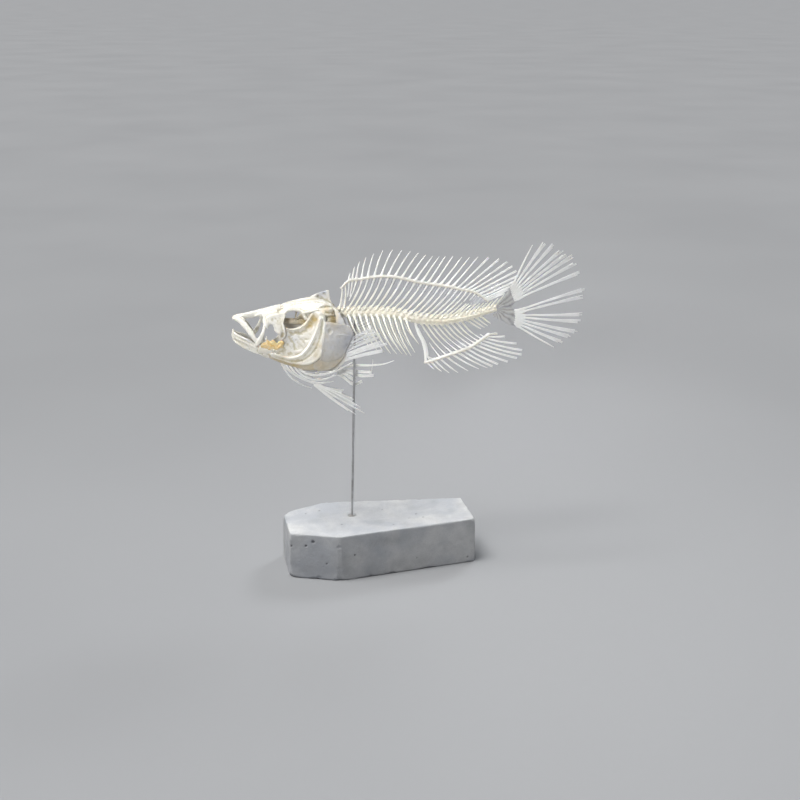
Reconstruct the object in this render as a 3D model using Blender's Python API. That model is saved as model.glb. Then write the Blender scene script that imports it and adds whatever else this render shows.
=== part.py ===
"""Skeleton of a large cichlid fish, mounted on a steel rod in a coffin-shaped concrete base.

The origin is at the centre of the base's underside. +X runs towards the tail, -X towards the head, the
fish's left side faces -Y and +Z is up. Lengths are in millimetres until a mesh is made, and MM turns them
into metres. The fish's own points are (x, side, z), where side is the distance from its middle plane
and counts as negative on its left.
"""

import math

import bmesh
import bpy
import numpy as np
from mathutils import Vector

MM = 0.001
GAP = 0.3  # kept between pieces that touch

# Base and rod
BASE_HEIGHT = 32.0
BASE_LENGTH = 128.4
HEAD_WIDTH, SHOULDER_WIDTH, FOOT_WIDTH = 37.2, 62.9, 39.2
SHOULDER_AT = 31.7  # from the head end
BASE_DRAFT = 0.6  # the mould is this much wider at the bottom, on each side
BASE_BEVEL = 0.9
SOCKET_RADIUS, SOCKET_DEPTH, SOCKET_SIDES = 3.1, 5.0, 16
GLUE_SUNK = 0.6  # depth of the glue's top below the base's
ROD_RADIUS, ROD_SIDES = 0.8, 12
BORE_RADIUS = ROD_RADIUS + GAP + 0.1  # of the hole through the glue
ROD_FOOT_X, ROD_LEAN = -17.8, math.radians(1.5)
ROD_MEETS_COLUMN = 172.0  # height at which the rod comes near the backbone
OVERRUN = 1.0  # by which a cutter passes the face that it cuts
MID_Y = 4.2  # middle plane of the fish

# Backbone: position along the body (x) of vertebra number n, with its centre height and its radius
VERTEBRAE = 31
TRUNK_VERTEBRAE = 14
VERTEBRA_X = [(-0.5, -27.0), (0, -25.5), (2, -19.4), (7, -0.5), (13, 22.7), (19, 44.0), (25, 64.7), (31, 84.4)]
COLUMN_Z = [(-27, 176.9), (-4, 176.3), (11, 174.6), (27, 170.5), (44, 168.1), (60, 169.7), (85, 174.8)]
COLUMN_RADIUS = [(-27, 3.1), (-5, 3.2), (22, 3.3), (44, 2.7), (65, 2.4), (85, 2.0)]
WAIST = 0.86  # radius of a vertebra's middle against its ends
SPINE_BREADTH, SPINE_THICKNESS = 0.95, 0.75

# Dorsal fin: a ridge of bone along the back that carries 18 spines and 10 soft rays
DORSAL_RIDGE = [
    (-22.9, 193.8), (-20.2, 196.8), (-10, 199.2), (8, 200.2), (30, 195.1), (56, 189.7), (70.5, 185.0), (76.8, 180.0)
]
DORSAL_RAYS = 28
DORSAL_SPINES = 18
DORSAL_X = [(1, -18.0), (3, -12.9), (5, -5.3), (7, 3.7), (12, 26.5), (16, 43.7), (19, 55.8), (22, 65.3), (25, 72.9), (28, 76.6)]
DORSAL_LENGTH = [
    (1, 5.2), (3, 12), (5, 16.4), (7, 18.8), (9, 19.6), (12, 20), (15, 22.4), (18, 26.4), (20, 31.6), (22, 32.2), (24, 29), (26, 20.3), (28, 12.4)
]  # from the middle of the ridge
DORSAL_BEND = [(1, 6), (8, 6), (13, 1), (28, 0)]  # degrees by which a ray starts steeper and ends flatter
DORSAL_DRIFT = [(1, 0), (22, 0), (24, -1.6), (28, -1.6)]  # the last tips pass to the left of the tail fin
DORSAL_ANGLE = [(1, 79), (4, 78), (6, 71), (8, 60), (12, 52), (15, 53.5), (16, 49.5), (18, 47), (20, 37), (23, 26), (28, 24)]

# Anal fin: a ridge that carries 7 spines and 9 soft rays
ANAL_RIDGE = [(33.6, 139.4), (41, 141.2), (53, 144.7), (66, 149.0), (72, 152.6), (78, 156.8)]
ANAL_RAYS = 16
ANAL_SPINES = 7
ANAL_X = [(1, 35.0), (3, 40.2), (6, 52.3), (9, 62.9), (12, 70.5), (14, 74.6), (16, 77.5)]
ANAL_LENGTH = [(1, 7.5), (3, 14.5), (5, 19.6), (7, 25), (9, 25.5), (11, 32.4), (13, 30.7), (14, 24), (15, 13.4), (16, 6.7)]
ANAL_ANGLE = [(1, -48), (4, -41), (6, -32), (9, -29.5), (11, -21), (13, -17), (14, -13), (15, -4), (16, 2)]

# Tail fin: eight rays above the notch and eight below it
CAUDAL_RAYS = 8
CAUDAL_UPPER_ANGLE = [(1, 64.5), (2, 55), (3, 48), (4, 40), (6, 33), (7, 28), (8, 20.5)]
CAUDAL_UPPER_LENGTH = [(1, 29), (2, 34.8), (4, 41.2), (6, 45), (8, 45)]
CAUDAL_LOWER_ANGLE = [(1, 15), (2, 11), (3, -2.5), (4, -7), (5, -15), (6, -19), (8, -32)]
CAUDAL_LOWER_LENGTH = [(1, 47.4), (2, 47.6), (3, 44.4), (5, 42.8), (6, 39), (8, 30.4)]

# Ribs
RIB_PAIRS = 11
RIB_DROP = [(0, 15), (1, 19), (3, 23.5), (6, 24.5), (9, 22.5), (10, 16)]
RIB_SWEEP = [(0, 6), (2, 9.5), (6, 11), (10, 7.6)]
RIB_BOW = [(0, 7.5), (2, 9.5), (5, 10.2), (8, 9), (10, 6.5)]


def smooth(keys, x):
    """The value at x of a smooth curve through keys, which are (position, value) pairs."""
    places = np.array([key[0] for key in keys], float)
    values = np.array([key[1] for key in keys], float)
    slopes = np.gradient(values, places, axis=0)
    i = int(np.clip(np.searchsorted(places, x) - 1, 0, len(places) - 2))
    step = places[i + 1] - places[i]
    t = min(max((x - places[i]) / step, 0.0), 1.0)
    start = (1 + 2 * t) * (1 - t) ** 2 * values[i] + t * (1 - t) ** 2 * step * slopes[i]
    return start + t * t * (3 - 2 * t) * values[i + 1] + t * t * (t - 1) * step * slopes[i + 1]


def along(points, count):
    """count places, evenly spaced by length, on a smooth curve through points."""
    points = [np.array(p, float) for p in points]
    reach = [0.0]
    for a, b in zip(points, points[1:]):
        reach.append(reach[-1] + float(np.linalg.norm(b - a)))
    keys = list(zip(reach, points))
    return [Vector(smooth(keys, reach[-1] * i / (count - 1))) for i in range(count)]


def mirrored(points, side):
    """Points given for the left side, on the left for side -1 and on the right for side 1."""
    return [(p[0], -side * p[1], p[2]) for p in points]


def blended(values, count):
    """count values, spread evenly along the list of values."""
    spots = np.linspace(0, len(values) - 1, count)
    return [np.interp(s, range(len(values)), values) for s in spots]


def material(name, colour, roughness, metallic=0.0):
    made = bpy.data.materials.new(name)
    made.use_nodes = True
    shader = made.node_tree.nodes["Principled BSDF"]
    shader.inputs["Base Color"].default_value = (*colour, 1.0)
    shader.inputs["Roughness"].default_value = roughness
    shader.inputs["Metallic"].default_value = metallic
    made.diffuse_color = (*colour, 1.0)
    return made


def add_object(name, bm, finish, mid_y=MID_Y):
    """The bmesh, in millimetres, becomes an object whose own middle plane lies at mid_y."""
    bmesh.ops.recalc_face_normals(bm, faces=bm.faces)
    if bm.calc_volume(signed=True) < 0:
        bmesh.ops.reverse_faces(bm, faces=bm.faces)
    bmesh.ops.scale(bm, vec=(MM, MM, MM), verts=bm.verts)
    mesh = bpy.data.meshes.new(name)
    bm.to_mesh(mesh)
    bm.free()
    mesh.materials.append(finish)
    obj = bpy.data.objects.new(name, mesh)
    obj.location = (0, mid_y * MM, 0)
    bpy.context.scene.collection.objects.link(obj)
    return obj


def combine(obj, operation, *helpers):
    """Joins helpers to obj (UNION) or cuts them out of it (DIFFERENCE). They stay as hidden guides."""
    for helper in helpers:
        step = obj.modifiers.new(operation.lower() + " " + helper.name, "BOOLEAN")
        step.operation = operation
        step.solver = "EXACT"
        step.object = helper
        helper.hide_render = True
        helper.display_type = "WIRE"


def bridge(bm, ring_a, ring_b):
    """Faces between two rings. Each face starts at ring_a and has its first edge along the body."""
    count = len(ring_a)
    faces = []
    for i in range(count):
        j = (i + 1) % count
        faces.append(bm.faces.new((ring_a[i], ring_b[i], ring_b[j], ring_a[j])))
    return faces


def beam(bm, centres, sections):
    """A closed body through centres. Section k holds the (side, up) points round centre k, which turn with
    the path. Returns the faces as rows, one row for each stretch and one face for each side of it."""
    rings = []
    last = len(centres) - 1
    for k, (centre, section) in enumerate(zip(centres, sections)):
        ahead = (centres[min(k + 1, last)] - centres[max(k - 1, 0)]).normalized()
        across = ahead.cross(Vector((0, 0, 1))).normalized() * -1
        up = ahead.cross(across) * -1
        if up.z < 0:
            up = -up
        rings.append([bm.verts.new(centre + across * s + up * u) for s, u in section])
    rows = [bridge(bm, a, b) for a, b in zip(rings, rings[1:])]
    bm.faces.new(rings[0])
    bm.faces.new(rings[-1])
    return rows


def grow(bm, face, path, breadths, thicknesses):
    """Draws a bone out of a four-sided face along path, with its breadth along the face's first edge."""
    corners = list(face.verts)
    first = (corners[1].co + corners[2].co - corners[0].co - corners[3].co).normalized()
    second = (corners[2].co + corners[3].co - corners[0].co - corners[1].co).normalized()
    bm.faces.remove(face)
    signs = ((-1, -1), (1, -1), (1, 1), (-1, 1))
    middle = sum((v.co for v in corners), Vector()) / 4
    stops = [middle] + [Vector(p) for p in path]
    turn = 1 if (stops[1] - middle).cross(first).dot(second) > 0 else -1
    along_it = first
    ring = corners
    for k, (breadth, thickness) in enumerate(zip(breadths, thicknesses), start=1):
        ahead = (stops[min(k + 1, len(stops) - 1)] - stops[k - 1]).normalized()
        along_it = (along_it - ahead * along_it.dot(ahead)).normalized()
        across_it = ahead.cross(along_it) * turn
        new_ring = [
            bm.verts.new(stops[k] + along_it * (a * breadth / 2) + across_it * (b * thickness / 2))
            for a, b in signs
        ]
        bridge(bm, ring, new_ring)
        ring = new_ring
    bm.faces.new(ring)


def upright_bar(bm, places, corners):
    """A bar through places, with the same (x, y) corners round each. Returns its faces as rows."""
    rings = [[bm.verts.new(place + Vector((x, y, 0))) for x, y in corners] for place in places]
    rows = [bridge(bm, a, b) for a, b in zip(rings, rings[1:])]
    bm.faces.new(rings[0])
    bm.faces.new(rings[-1])
    return rows


def swept(bm, path, breadths, thicknesses, towards=(0, 0, 1), sides=6):
    """A rounded bone along path. Its breadth lies towards the given direction."""
    last = len(path) - 1
    rings = []
    for k, (place, breadth, thickness) in enumerate(zip(path, breadths, thicknesses)):
        ahead = (path[min(k + 1, last)] - path[max(k - 1, 0)]).normalized()
        wide = Vector(towards)
        wide = (wide - ahead * wide.dot(ahead)).normalized()
        thin = ahead.cross(wide)
        turns = [2 * math.pi * (i + 0.5) / sides for i in range(sides)]
        rings.append([
            bm.verts.new(place + wide * (math.cos(t) * breadth / 2) + thin * (math.sin(t) * thickness / 2))
            for t in turns
        ])
    for a, b in zip(rings, rings[1:]):
        bridge(bm, a, b)
    bm.faces.new(rings[0])
    bm.faces.new(rings[-1])


def rod_shape(name, finish, points, breadths, thicknesses, count, towards=(0, 0, 1), sides=6):
    """One bone as an object: a rounded sweep through points."""
    bm = bmesh.new()
    swept(bm, along(points, count), blended(breadths, count), blended(thicknesses, count), towards, sides)
    return add_object(name, bm, finish)


def plate(name, finish, edge_a, edge_b, thickness, crown=0.0, count=5, rows=3, side=-1):
    """A curved sheet of bone between two edges, each a smooth curve, crowned outwards in its middle."""
    curve_a = along(mirrored(edge_a, side), count)
    curve_b = along(mirrored(edge_b, side), count)
    bm = bmesh.new()
    outer, inner = [], []
    for k, (a, b) in enumerate(zip(curve_a, curve_b)):
        arch_k = math.sin(math.pi * k / (count - 1))
        outer.append([])
        inner.append([])
        for r in range(rows + 1):
            t = r / rows
            bulge = crown * math.sin(math.pi * t) * (0.35 + 0.65 * arch_k)
            place = a.lerp(b, t) + Vector((0, side * bulge, 0))
            outer[-1].append(bm.verts.new(place))
            inner[-1].append(bm.verts.new(place - Vector((0, side * thickness, 0))))
    for k in range(count - 1):
        for r in range(rows):
            for layer in (outer, inner):
                bm.faces.new((layer[k][r], layer[k + 1][r], layer[k + 1][r + 1], layer[k][r + 1]))
        for r in (0, rows):
            bm.faces.new((outer[k][r], outer[k + 1][r], inner[k + 1][r], inner[k][r]))
    for k in (0, count - 1):
        for r in range(rows):
            bm.faces.new((outer[k][r], outer[k][r + 1], inner[k][r + 1], inner[k][r]))
    return add_object(name, bm, finish)


def flat_blade(name, finish, outline, side_of, thickness):
    """A thin blade with the given (x, z) outline. side_of(x, z) tells how far it is from the middle plane."""
    bm = bmesh.new()
    layers = []
    for half in (-thickness / 2, thickness / 2):
        layers.append([bm.verts.new((x, side_of(x, z) + half, z)) for x, z in outline])
    bridge(bm, layers[0], layers[1])
    for layer in layers:
        face = bm.faces.new(layer)
        face.normal_update()
        bmesh.ops.triangulate(bm, faces=[face], ngon_method="EAR_CLIP")
    return add_object(name, bm, finish)


def mid_plane(x, z):
    return 0.0


# Base and rod


def base_outline(grow_by, z):
    """Corners of the coffin-shaped plan, moved outwards by grow_by, at height z."""
    head_x, foot_x = -BASE_LENGTH / 2 - grow_by, BASE_LENGTH / 2 + grow_by
    shoulder_x = -BASE_LENGTH / 2 + SHOULDER_AT
    half = [(head_x, HEAD_WIDTH / 2), (shoulder_x, SHOULDER_WIDTH / 2), (foot_x, FOOT_WIDTH / 2)]
    half = [(x, width + grow_by) for x, width in half]
    return [(x, y, z) for x, y in half] + [(x, -y, z) for x, y in reversed(half)]


def cylinder(name, finish, radius, bottom, top, sides):
    """An upright cylinder round the rod's foot, from height bottom to height top."""
    bm = bmesh.new()
    rings = []
    for z in (bottom, top):
        turns = [2 * math.pi * (i + 0.5) / sides for i in range(sides)]
        rings.append([bm.verts.new((ROD_FOOT_X + radius * math.cos(t), radius * math.sin(t), z)) for t in turns])
    bridge(bm, *rings)
    for ring in rings:
        bm.faces.new(ring)
    return add_object(name, bm, finish)


def make_base(concrete, glue):
    bm = bmesh.new()
    levels = [
        base_outline(BASE_DRAFT, 0),
        base_outline(0, BASE_HEIGHT - BASE_BEVEL),
        base_outline(-BASE_BEVEL, BASE_HEIGHT),
    ]
    rings = [[bm.verts.new(p) for p in level] for level in levels]
    bridge(bm, rings[0], rings[1])
    bridge(bm, rings[1], rings[2])
    bm.faces.new(rings[0])
    bm.faces.new(rings[2])
    base = add_object("stand_base", bm, concrete, 0)
    socket_floor = BASE_HEIGHT - SOCKET_DEPTH
    socket = cylinder("socket", concrete, SOCKET_RADIUS, socket_floor, BASE_HEIGHT + OVERRUN, SOCKET_SIDES)
    combine(base, "DIFFERENCE", socket)
    plug = cylinder("stand_glue", glue, SOCKET_RADIUS - GAP, socket_floor + GAP, BASE_HEIGHT - GLUE_SUNK, SOCKET_SIDES)
    bore = cylinder("bore", glue, BORE_RADIUS, socket_floor - OVERRUN, BASE_HEIGHT, ROD_SIDES)
    combine(plug, "DIFFERENCE", bore)


def rod_x(z):
    return ROD_FOOT_X + (z - BASE_HEIGHT) * math.tan(ROD_LEAN)


def make_rod(steel):
    foot = BASE_HEIGHT - SOCKET_DEPTH + 2 * GAP
    top_x = rod_x(ROD_MEETS_COLUMN)
    top = column_centre(top_x).z - smooth(COLUMN_RADIUS, top_x) - GAP
    path = [Vector((rod_x(z), 0, z)) for z in (foot, top)]
    bm = bmesh.new()
    swept(bm, path, [2 * ROD_RADIUS] * 2, [2 * ROD_RADIUS] * 2, towards=(0, 1, 0), sides=ROD_SIDES)
    add_object("stand_rod", bm, steel)


# Backbone


def vertebra_x(n):
    return float(smooth(VERTEBRA_X, n))


def column_centre(x):
    return Vector((x, 0, smooth(COLUMN_Z, x)))


def column_stops(first, last):
    """Places along the column: each vertebra's middle, and each joint between two, with the radius there."""
    stops = []
    for half in range(2 * first - 1, 2 * last + 2):
        x = vertebra_x(half / 2)
        radius = float(smooth(COLUMN_RADIUS, x)) * (WAIST if half % 2 == 0 else 1.0)
        stops.append((column_centre(x), radius))
    return stops


def column_edge(n, up):
    """Where a spine of vertebra n would leave the column: on its top for up 1, on its underside for up -1."""
    x = vertebra_x(n + 0.25)
    return column_centre(x) + Vector((0, 0, up * 0.93 * float(smooth(COLUMN_RADIUS, x))))


def round_section(radius, sides=8):
    turns = [2 * math.pi * (i + 0.5) / sides for i in range(sides)]
    return [(radius * math.cos(t), radius * math.sin(t)) for t in turns]


TOP, BOTTOM = 1, 5  # sides of the eight-sided column


def upper_section(radius):
    """The part of the column above the ribs: a little more than its upper half."""
    low = -0.15 * radius
    return [(radius, low), (0.72 * radius, 0.68 * radius), (0.38 * radius, radius * 0.95),
            (-0.38 * radius, radius * 0.95), (-0.72 * radius, 0.68 * radius), (-radius, low)]


UPPER_TOP = 2


def lower_section(radius, side):
    """A quarter of the column, below the upper part and on one side of the middle plane."""
    top, middle = -0.15 * radius - GAP, side * GAP / 2
    return [(middle, top), (side * 0.97 * radius, top), (side * 0.7 * radius, -0.7 * radius), (middle, -0.97 * radius)]


LOWER_OUTSIDE = 1


RIDGE_HALF = 1.05  # from the middle of a fin's ridge to its face


FRONT_TARGETS = [(-22.6, 0, 192.6), (-19.6, 0, 196.6)]  # what the first two upper spines point to
NEURAL_TARGET = [(0, -0.9), (1, 0.45), (1.5, 3.0), (2.5, 4.0), (20, 21.5), (26, 27.5)]  # vertebra and dorsal ray
HAEMAL_TARGET = [(14, 34.6), (15, 46.4), (16, 54.2), (18, 61.3), (20, 66.9), (22, 71.5), (24, 75.8)]  # vertebra and x


def ridge_target(n):
    """Where on the dorsal ridge the spine of vertebra n points to."""
    if n < len(FRONT_TARGETS):
        return Vector(FRONT_TARGETS[n])
    x = float(smooth(DORSAL_X, smooth(NEURAL_TARGET, n)))
    return ridge_place(DORSAL_RIDGE, x) - Vector((0, 0, RIDGE_HALF))


def anal_target(n):
    """Where on the anal ridge the lower spine of vertebra n points to."""
    return ridge_place(ANAL_RIDGE, float(smooth(HAEMAL_TARGET, n))) + Vector((0, 0, RIDGE_HALF))


def ridge_place(ridge, x):
    return Vector((x, 0, float(smooth(ridge, x))))


def fan_line(start, end, t, bow):
    """A place at t along a slightly bowed line from start to end, bowed down and forwards."""
    normal = Vector((-(end - start).z, 0, (end - start).x)).normalized()
    return start.lerp(end, t) + normal * (bow * math.sin(math.pi * t))


# Shares of the way to a fin's ridge that a spine covers
FRONT_REACH, HAEMAL_REACH = 0.93, 0.7
NEURAL_REACH = [(0, 0.64), (19, 0.64), (22, 0.56)]
FIRST_FREE_NEURAL, FIRST_FREE_HAEMAL, LAST_HAEMAL = 22, 24, 27  # free spines stand behind the fins
NEURAL_BOW, HAEMAL_BOW = -0.9, -1.3
FREE_NEURAL_LENGTH = [(20, 12.5), (22, 11), (24, 9), (26, 7.4), (28, 7.2), (30, 9.5)]
FREE_NEURAL_ANGLE = [(20, 41), (22, 42), (25, 44), (30, 50)]
FREE_HAEMAL_LENGTH = [(24, 12.4), (26, 10.5), (28, 7.5), (30, 6.0)]
FREE_HAEMAL_ANGLE = [(24, -34), (28, -40), (30, -38)]


def leaning(start, length, degrees, count=3, bend=4):
    """Places along a bone that leans at the given angle and bends a little towards the horizontal."""
    places, place = [], Vector(start)
    for k in range(count):
        turn = math.radians(degrees + bend * (1 - 2 * k / max(count - 1, 1)) * (1 if degrees > 0 else -1))
        place = place + Vector((math.cos(turn), 0, math.sin(turn))) * (length / count)
        places.append(place.copy())
    return places


def neural_path(n, foot):
    if n < FIRST_FREE_NEURAL:
        end = ridge_target(n)
        reach = FRONT_REACH if n < len(FRONT_TARGETS) else float(smooth(NEURAL_REACH, n))
        return [fan_line(foot, end, reach * k / 3, NEURAL_BOW) for k in (1, 2, 3)]
    return leaning(foot, float(smooth(FREE_NEURAL_LENGTH, n)), float(smooth(FREE_NEURAL_ANGLE, n)), 2)


def haemal_path(n, foot):
    if n < FIRST_FREE_HAEMAL:
        end = anal_target(n)
        return [fan_line(foot, end, HAEMAL_REACH * k / 3, HAEMAL_BOW) for k in (1, 2, 3)]
    return leaning(foot, float(smooth(FREE_HAEMAL_LENGTH, n)), float(smooth(FREE_HAEMAL_ANGLE, n)), 2)


def grow_spine(bm, face, path, breadth=SPINE_BREADTH, thickness=SPINE_THICKNESS, tip=0.6):
    count = len(path)
    grow(bm, face, path, blended([breadth, breadth * tip], count), blended([thickness, thickness * 0.85], count))


def face_middle(face):
    return sum((v.co for v in face.verts), Vector()) / len(face.verts)


def make_backbone(bone):
    trunk = column_stops(0, TRUNK_VERTEBRAE - 1)
    bm = bmesh.new()
    rows = beam(bm, [c for c, _ in trunk], [upper_section(r) for _, r in trunk])
    for n in range(TRUNK_VERTEBRAE):
        face = rows[2 * n + 1][UPPER_TOP]
        grow_spine(bm, face, neural_path(n, face_middle(face)))
    add_object("backbone_trunk", bm, bone)

    tail = column_stops(TRUNK_VERTEBRAE, VERTEBRAE - 1)
    tail[0] = (tail[0][0] + Vector((GAP, 0, 0)), tail[0][1])
    bm = bmesh.new()
    rows = beam(bm, [c for c, _ in tail], [round_section(r) for _, r in tail])
    for n in range(TRUNK_VERTEBRAE, VERTEBRAE):
        row = rows[2 * (n - TRUNK_VERTEBRAE) + 1]
        top, bottom = row[TOP], row[BOTTOM]
        grow_spine(bm, top, neural_path(n, face_middle(top)))
        if TRUNK_VERTEBRAE < n <= LAST_HAEMAL:
            grow_spine(bm, bottom, haemal_path(n, face_middle(bottom)))
    add_object("backbone_tail", bm, bone)


def make_ribs(bone):
    for side, word in ((-1, "left"), (1, "right")):
        stops = column_stops(0, TRUNK_VERTEBRAE - 1)
        bm = bmesh.new()
        rows = beam(bm, [c for c, _ in stops], [lower_section(r, side) for _, r in stops])
        for k in range(RIB_PAIRS):
            face = rows[2 * (k + 2) + 1][LOWER_OUTSIDE]
            foot = face_middle(face)
            drop, sweep = float(smooth(RIB_DROP, k)), float(smooth(RIB_SWEEP, k))
            bow = float(smooth(RIB_BOW, k))
            path = []
            for t in (0.2, 0.55, 1.0):
                out = bow * math.sin(math.pi * t * 0.68) ** 0.8
                path.append((foot.x + sweep * t ** 1.7, side * (2.2 + out), foot.z - drop * t))
            grow(bm, face, path, [1.0, 0.9, 0.6], [0.85, 0.7, 0.55])
        add_object("ribs_" + word, bm, bone)


# Unpaired fins


def ridge_stops(ridge, xs, width):
    """Pairs of places on a ridge, one pair round the foot of each ray."""
    stops = []
    for k, x in enumerate(xs):
        room = min(abs(x - other) for other in xs[max(k - 1, 0):k] + xs[k + 1:k + 2])
        half = min(width, 0.62 * room) / 2
        stops += [ridge_place(ridge, x + d) for d in (-half, half)]
    return stops


def box_section(half_side, half_up):
    return [(half_side, half_up), (-half_side, half_up), (-half_side, -half_up), (half_side, -half_up)]


BOX_TOP, BOX_BOTTOM = 0, 2
DORSAL_FRONT = (-23.4, -22.0, -20.4)  # the ridge's bare front end
RIDGE_BREADTH = 0.95  # half of it, against half of the ridge's height
FOOT_WIDTH_ALONG = 1.5
SPINE_FOOT, RAY_FOOT, FOOT_THICKNESS, RAY_TIP = 1.05, 0.85, 0.7, 0.55
STRUT_THICKNESS = 0.6
DORSAL_LINE = {1: 1.15, 2: 1.32}  # vertebra that the strut under a ray points to, if not STRUT_BEHIND ahead of it
STRUT_BEHIND = 1.5
DORSAL_REACH = [(2, 0.45), (3, 0.30), (18, 0.30), (28, 1.15)]  # share of the way at which a strut ends
LONGEST_REACH = 0.86  # a strut that would end further up is left out


def make_dorsal_fin(bone):
    xs = [float(smooth(DORSAL_X, n)) for n in range(1, DORSAL_RAYS + 1)]
    front = [ridge_place(DORSAL_RIDGE, x) for x in DORSAL_FRONT]
    stops = front + ridge_stops(DORSAL_RIDGE, xs, FOOT_WIDTH_ALONG)
    thick = [smooth([(0, 0.7), (6, 1.15), (40, 1.15), (len(stops) - 1, 0.6)], k) for k in range(len(stops))]
    bm = bmesh.new()
    rows = beam(bm, stops, [box_section(RIDGE_BREADTH * t, t) for t in thick])
    for n in range(1, DORSAL_RAYS + 1):
        row = rows[len(front) + 2 * (n - 1)]
        length, angle = float(smooth(DORSAL_LENGTH, n)), float(smooth(DORSAL_ANGLE, n))
        breadth = SPINE_FOOT if n <= DORSAL_SPINES else RAY_FOOT
        ray = leaning(ridge_place(DORSAL_RIDGE, xs[n - 1]), length, angle, 3, float(smooth(DORSAL_BEND, n)))
        for k, place in enumerate(ray, start=1):
            place.y += float(smooth(DORSAL_DRIFT, n)) * k / len(ray)
        grow_spine(bm, row[BOX_TOP], ray, breadth, FOOT_THICKNESS, RAY_TIP)
        reach = float(np.interp(n, *zip(*DORSAL_REACH)))
        if reach < LONGEST_REACH:
            start = column_edge(DORSAL_LINE.get(n, n - STRUT_BEHIND), 1)
            end = face_middle(row[BOX_BOTTOM])
            places = [fan_line(start, end, 1 - (1 - reach) * k / 2, NEURAL_BOW) for k in (1, 2)]
            grow_spine(bm, row[BOX_BOTTOM], places, 0.9, STRUT_THICKNESS, RAY_TIP)
    add_object("dorsal_fin", bm, bone)


ANAL_LINE = [(4, 14.8), (5, 15.35), (6, 15.6), (7, 16.5), (14, 23.5)]  # vertebra that the strut over a ray points to
ANAL_STRUTS = range(4, 15)
ANAL_REACH = [(4, 0.55), (5, 0.44), (11, 0.42), (14, 0.82)]
ANAL_STRUT = [(34.0, 147.0), (32.6, 154.0), (29.6, 160.0), (27.8, 164.2)]


def make_anal_fin(bone):
    xs = [float(smooth(ANAL_X, n)) for n in range(1, ANAL_RAYS + 1)]
    stops = ridge_stops(ANAL_RIDGE, xs, FOOT_WIDTH_ALONG)
    thick = [smooth([(0, 0.9), (10, 1.1), (22, 1.1), (len(stops) - 1, 0.55)], k) for k in range(len(stops))]
    bm = bmesh.new()
    rows = beam(bm, stops, [box_section(RIDGE_BREADTH * t, t) for t in thick])
    for n in range(1, ANAL_RAYS + 1):
        row = rows[2 * (n - 1)]
        length, angle = float(smooth(ANAL_LENGTH, n)), float(smooth(ANAL_ANGLE, n))
        breadth = SPINE_FOOT if n <= ANAL_SPINES else RAY_FOOT
        ray = leaning(ridge_place(ANAL_RIDGE, xs[n - 1]), length, angle, 3, 6)
        grow_spine(bm, row[BOX_BOTTOM], ray, breadth, FOOT_THICKNESS, RAY_TIP)
        if n == 1:
            places = [Vector((x, 0, z)) for x, z in ANAL_STRUT]
            grow(bm, row[BOX_TOP], places, [1.7, 2.0, 1.8, 1.1], [1.1, 1.0, 0.9, 0.7])
        elif n in ANAL_STRUTS:
            start = column_edge(float(np.interp(n, *zip(*ANAL_LINE))), -1)
            end = face_middle(row[BOX_TOP])
            reach = float(smooth(ANAL_REACH, n))
            places = [fan_line(start, end, 1 - (1 - reach) * k / 2, HAEMAL_BOW) for k in (1, 2)]
            grow_spine(bm, row[BOX_TOP], places, 0.85, STRUT_THICKNESS, 0.6)
    add_object("anal_fin", bm, bone)


# Tail

UPPER_HYPURAL = [(83.6, 177.0), (88.6, 182.6), (92.6, 189.6), (97.0, 179.6), (94.0, 175.4), (83.6, 174.9)]
LOWER_HYPURAL = [(83.6, 174.2), (94.0, 174.4), (97.1, 172.4), (97.6, 167.0), (96.6, 161.2), (92.0, 162.9), (80.6, 169.2),
                 (80.6, 170.8), (83.6, 171.8)]
UPPER_RAY_BASE = [(94.1, 190.2), (98.4, 180.1)]
LOWER_RAY_BASE = [(98.6, 172.6), (99.1, 167.0), (98.1, 161.2)]
CAUDAL_BAR = ((0.9, -0.55), (0.9, 0.55), (-0.75, 0.75), (-0.75, -0.75))
CAUDAL_FOOT_SPREAD = 0.14  # by which the foot of a ray is wider than half its share of the bar, at each end
HYPURAL_THICKNESS = 1.1


def make_caudal_half(name, finish, base, angles, lengths):
    """Eight rays that fan out from a bar of bone, which lies along the rear edge of a hypural plate."""
    bar = along([(x, 0, z) for x, z in base], 2 * CAUDAL_RAYS)
    places = []
    for a, b in zip(bar[::2], bar[1::2]):
        places += [a - (b - a) * CAUDAL_FOOT_SPREAD, b + (b - a) * CAUDAL_FOOT_SPREAD]
    bm = bmesh.new()
    rows = upright_bar(bm, places, CAUDAL_BAR)
    for n in range(1, CAUDAL_RAYS + 1):
        face = rows[2 * (n - 1)][0]
        length, angle = float(smooth(lengths, n)), float(smooth(angles, n))
        path = leaning(face_middle(face), length, angle, 3, 2)
        grow(bm, face, path, [1.0, 1.15, 0.8], [0.75, 0.65, 0.5])
    add_object(name, bm, finish)


def make_tail(clear_bone, bone):
    flat_blade("hypural_upper", clear_bone, UPPER_HYPURAL, mid_plane, HYPURAL_THICKNESS)
    flat_blade("hypural_lower", clear_bone, LOWER_HYPURAL, mid_plane, HYPURAL_THICKNESS)
    make_caudal_half("caudal_upper", bone, UPPER_RAY_BASE, CAUDAL_UPPER_ANGLE, CAUDAL_UPPER_LENGTH)
    make_caudal_half("caudal_lower", bone, LOWER_RAY_BASE, CAUDAL_LOWER_ANGLE, CAUDAL_LOWER_LENGTH)


# Skull

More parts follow.
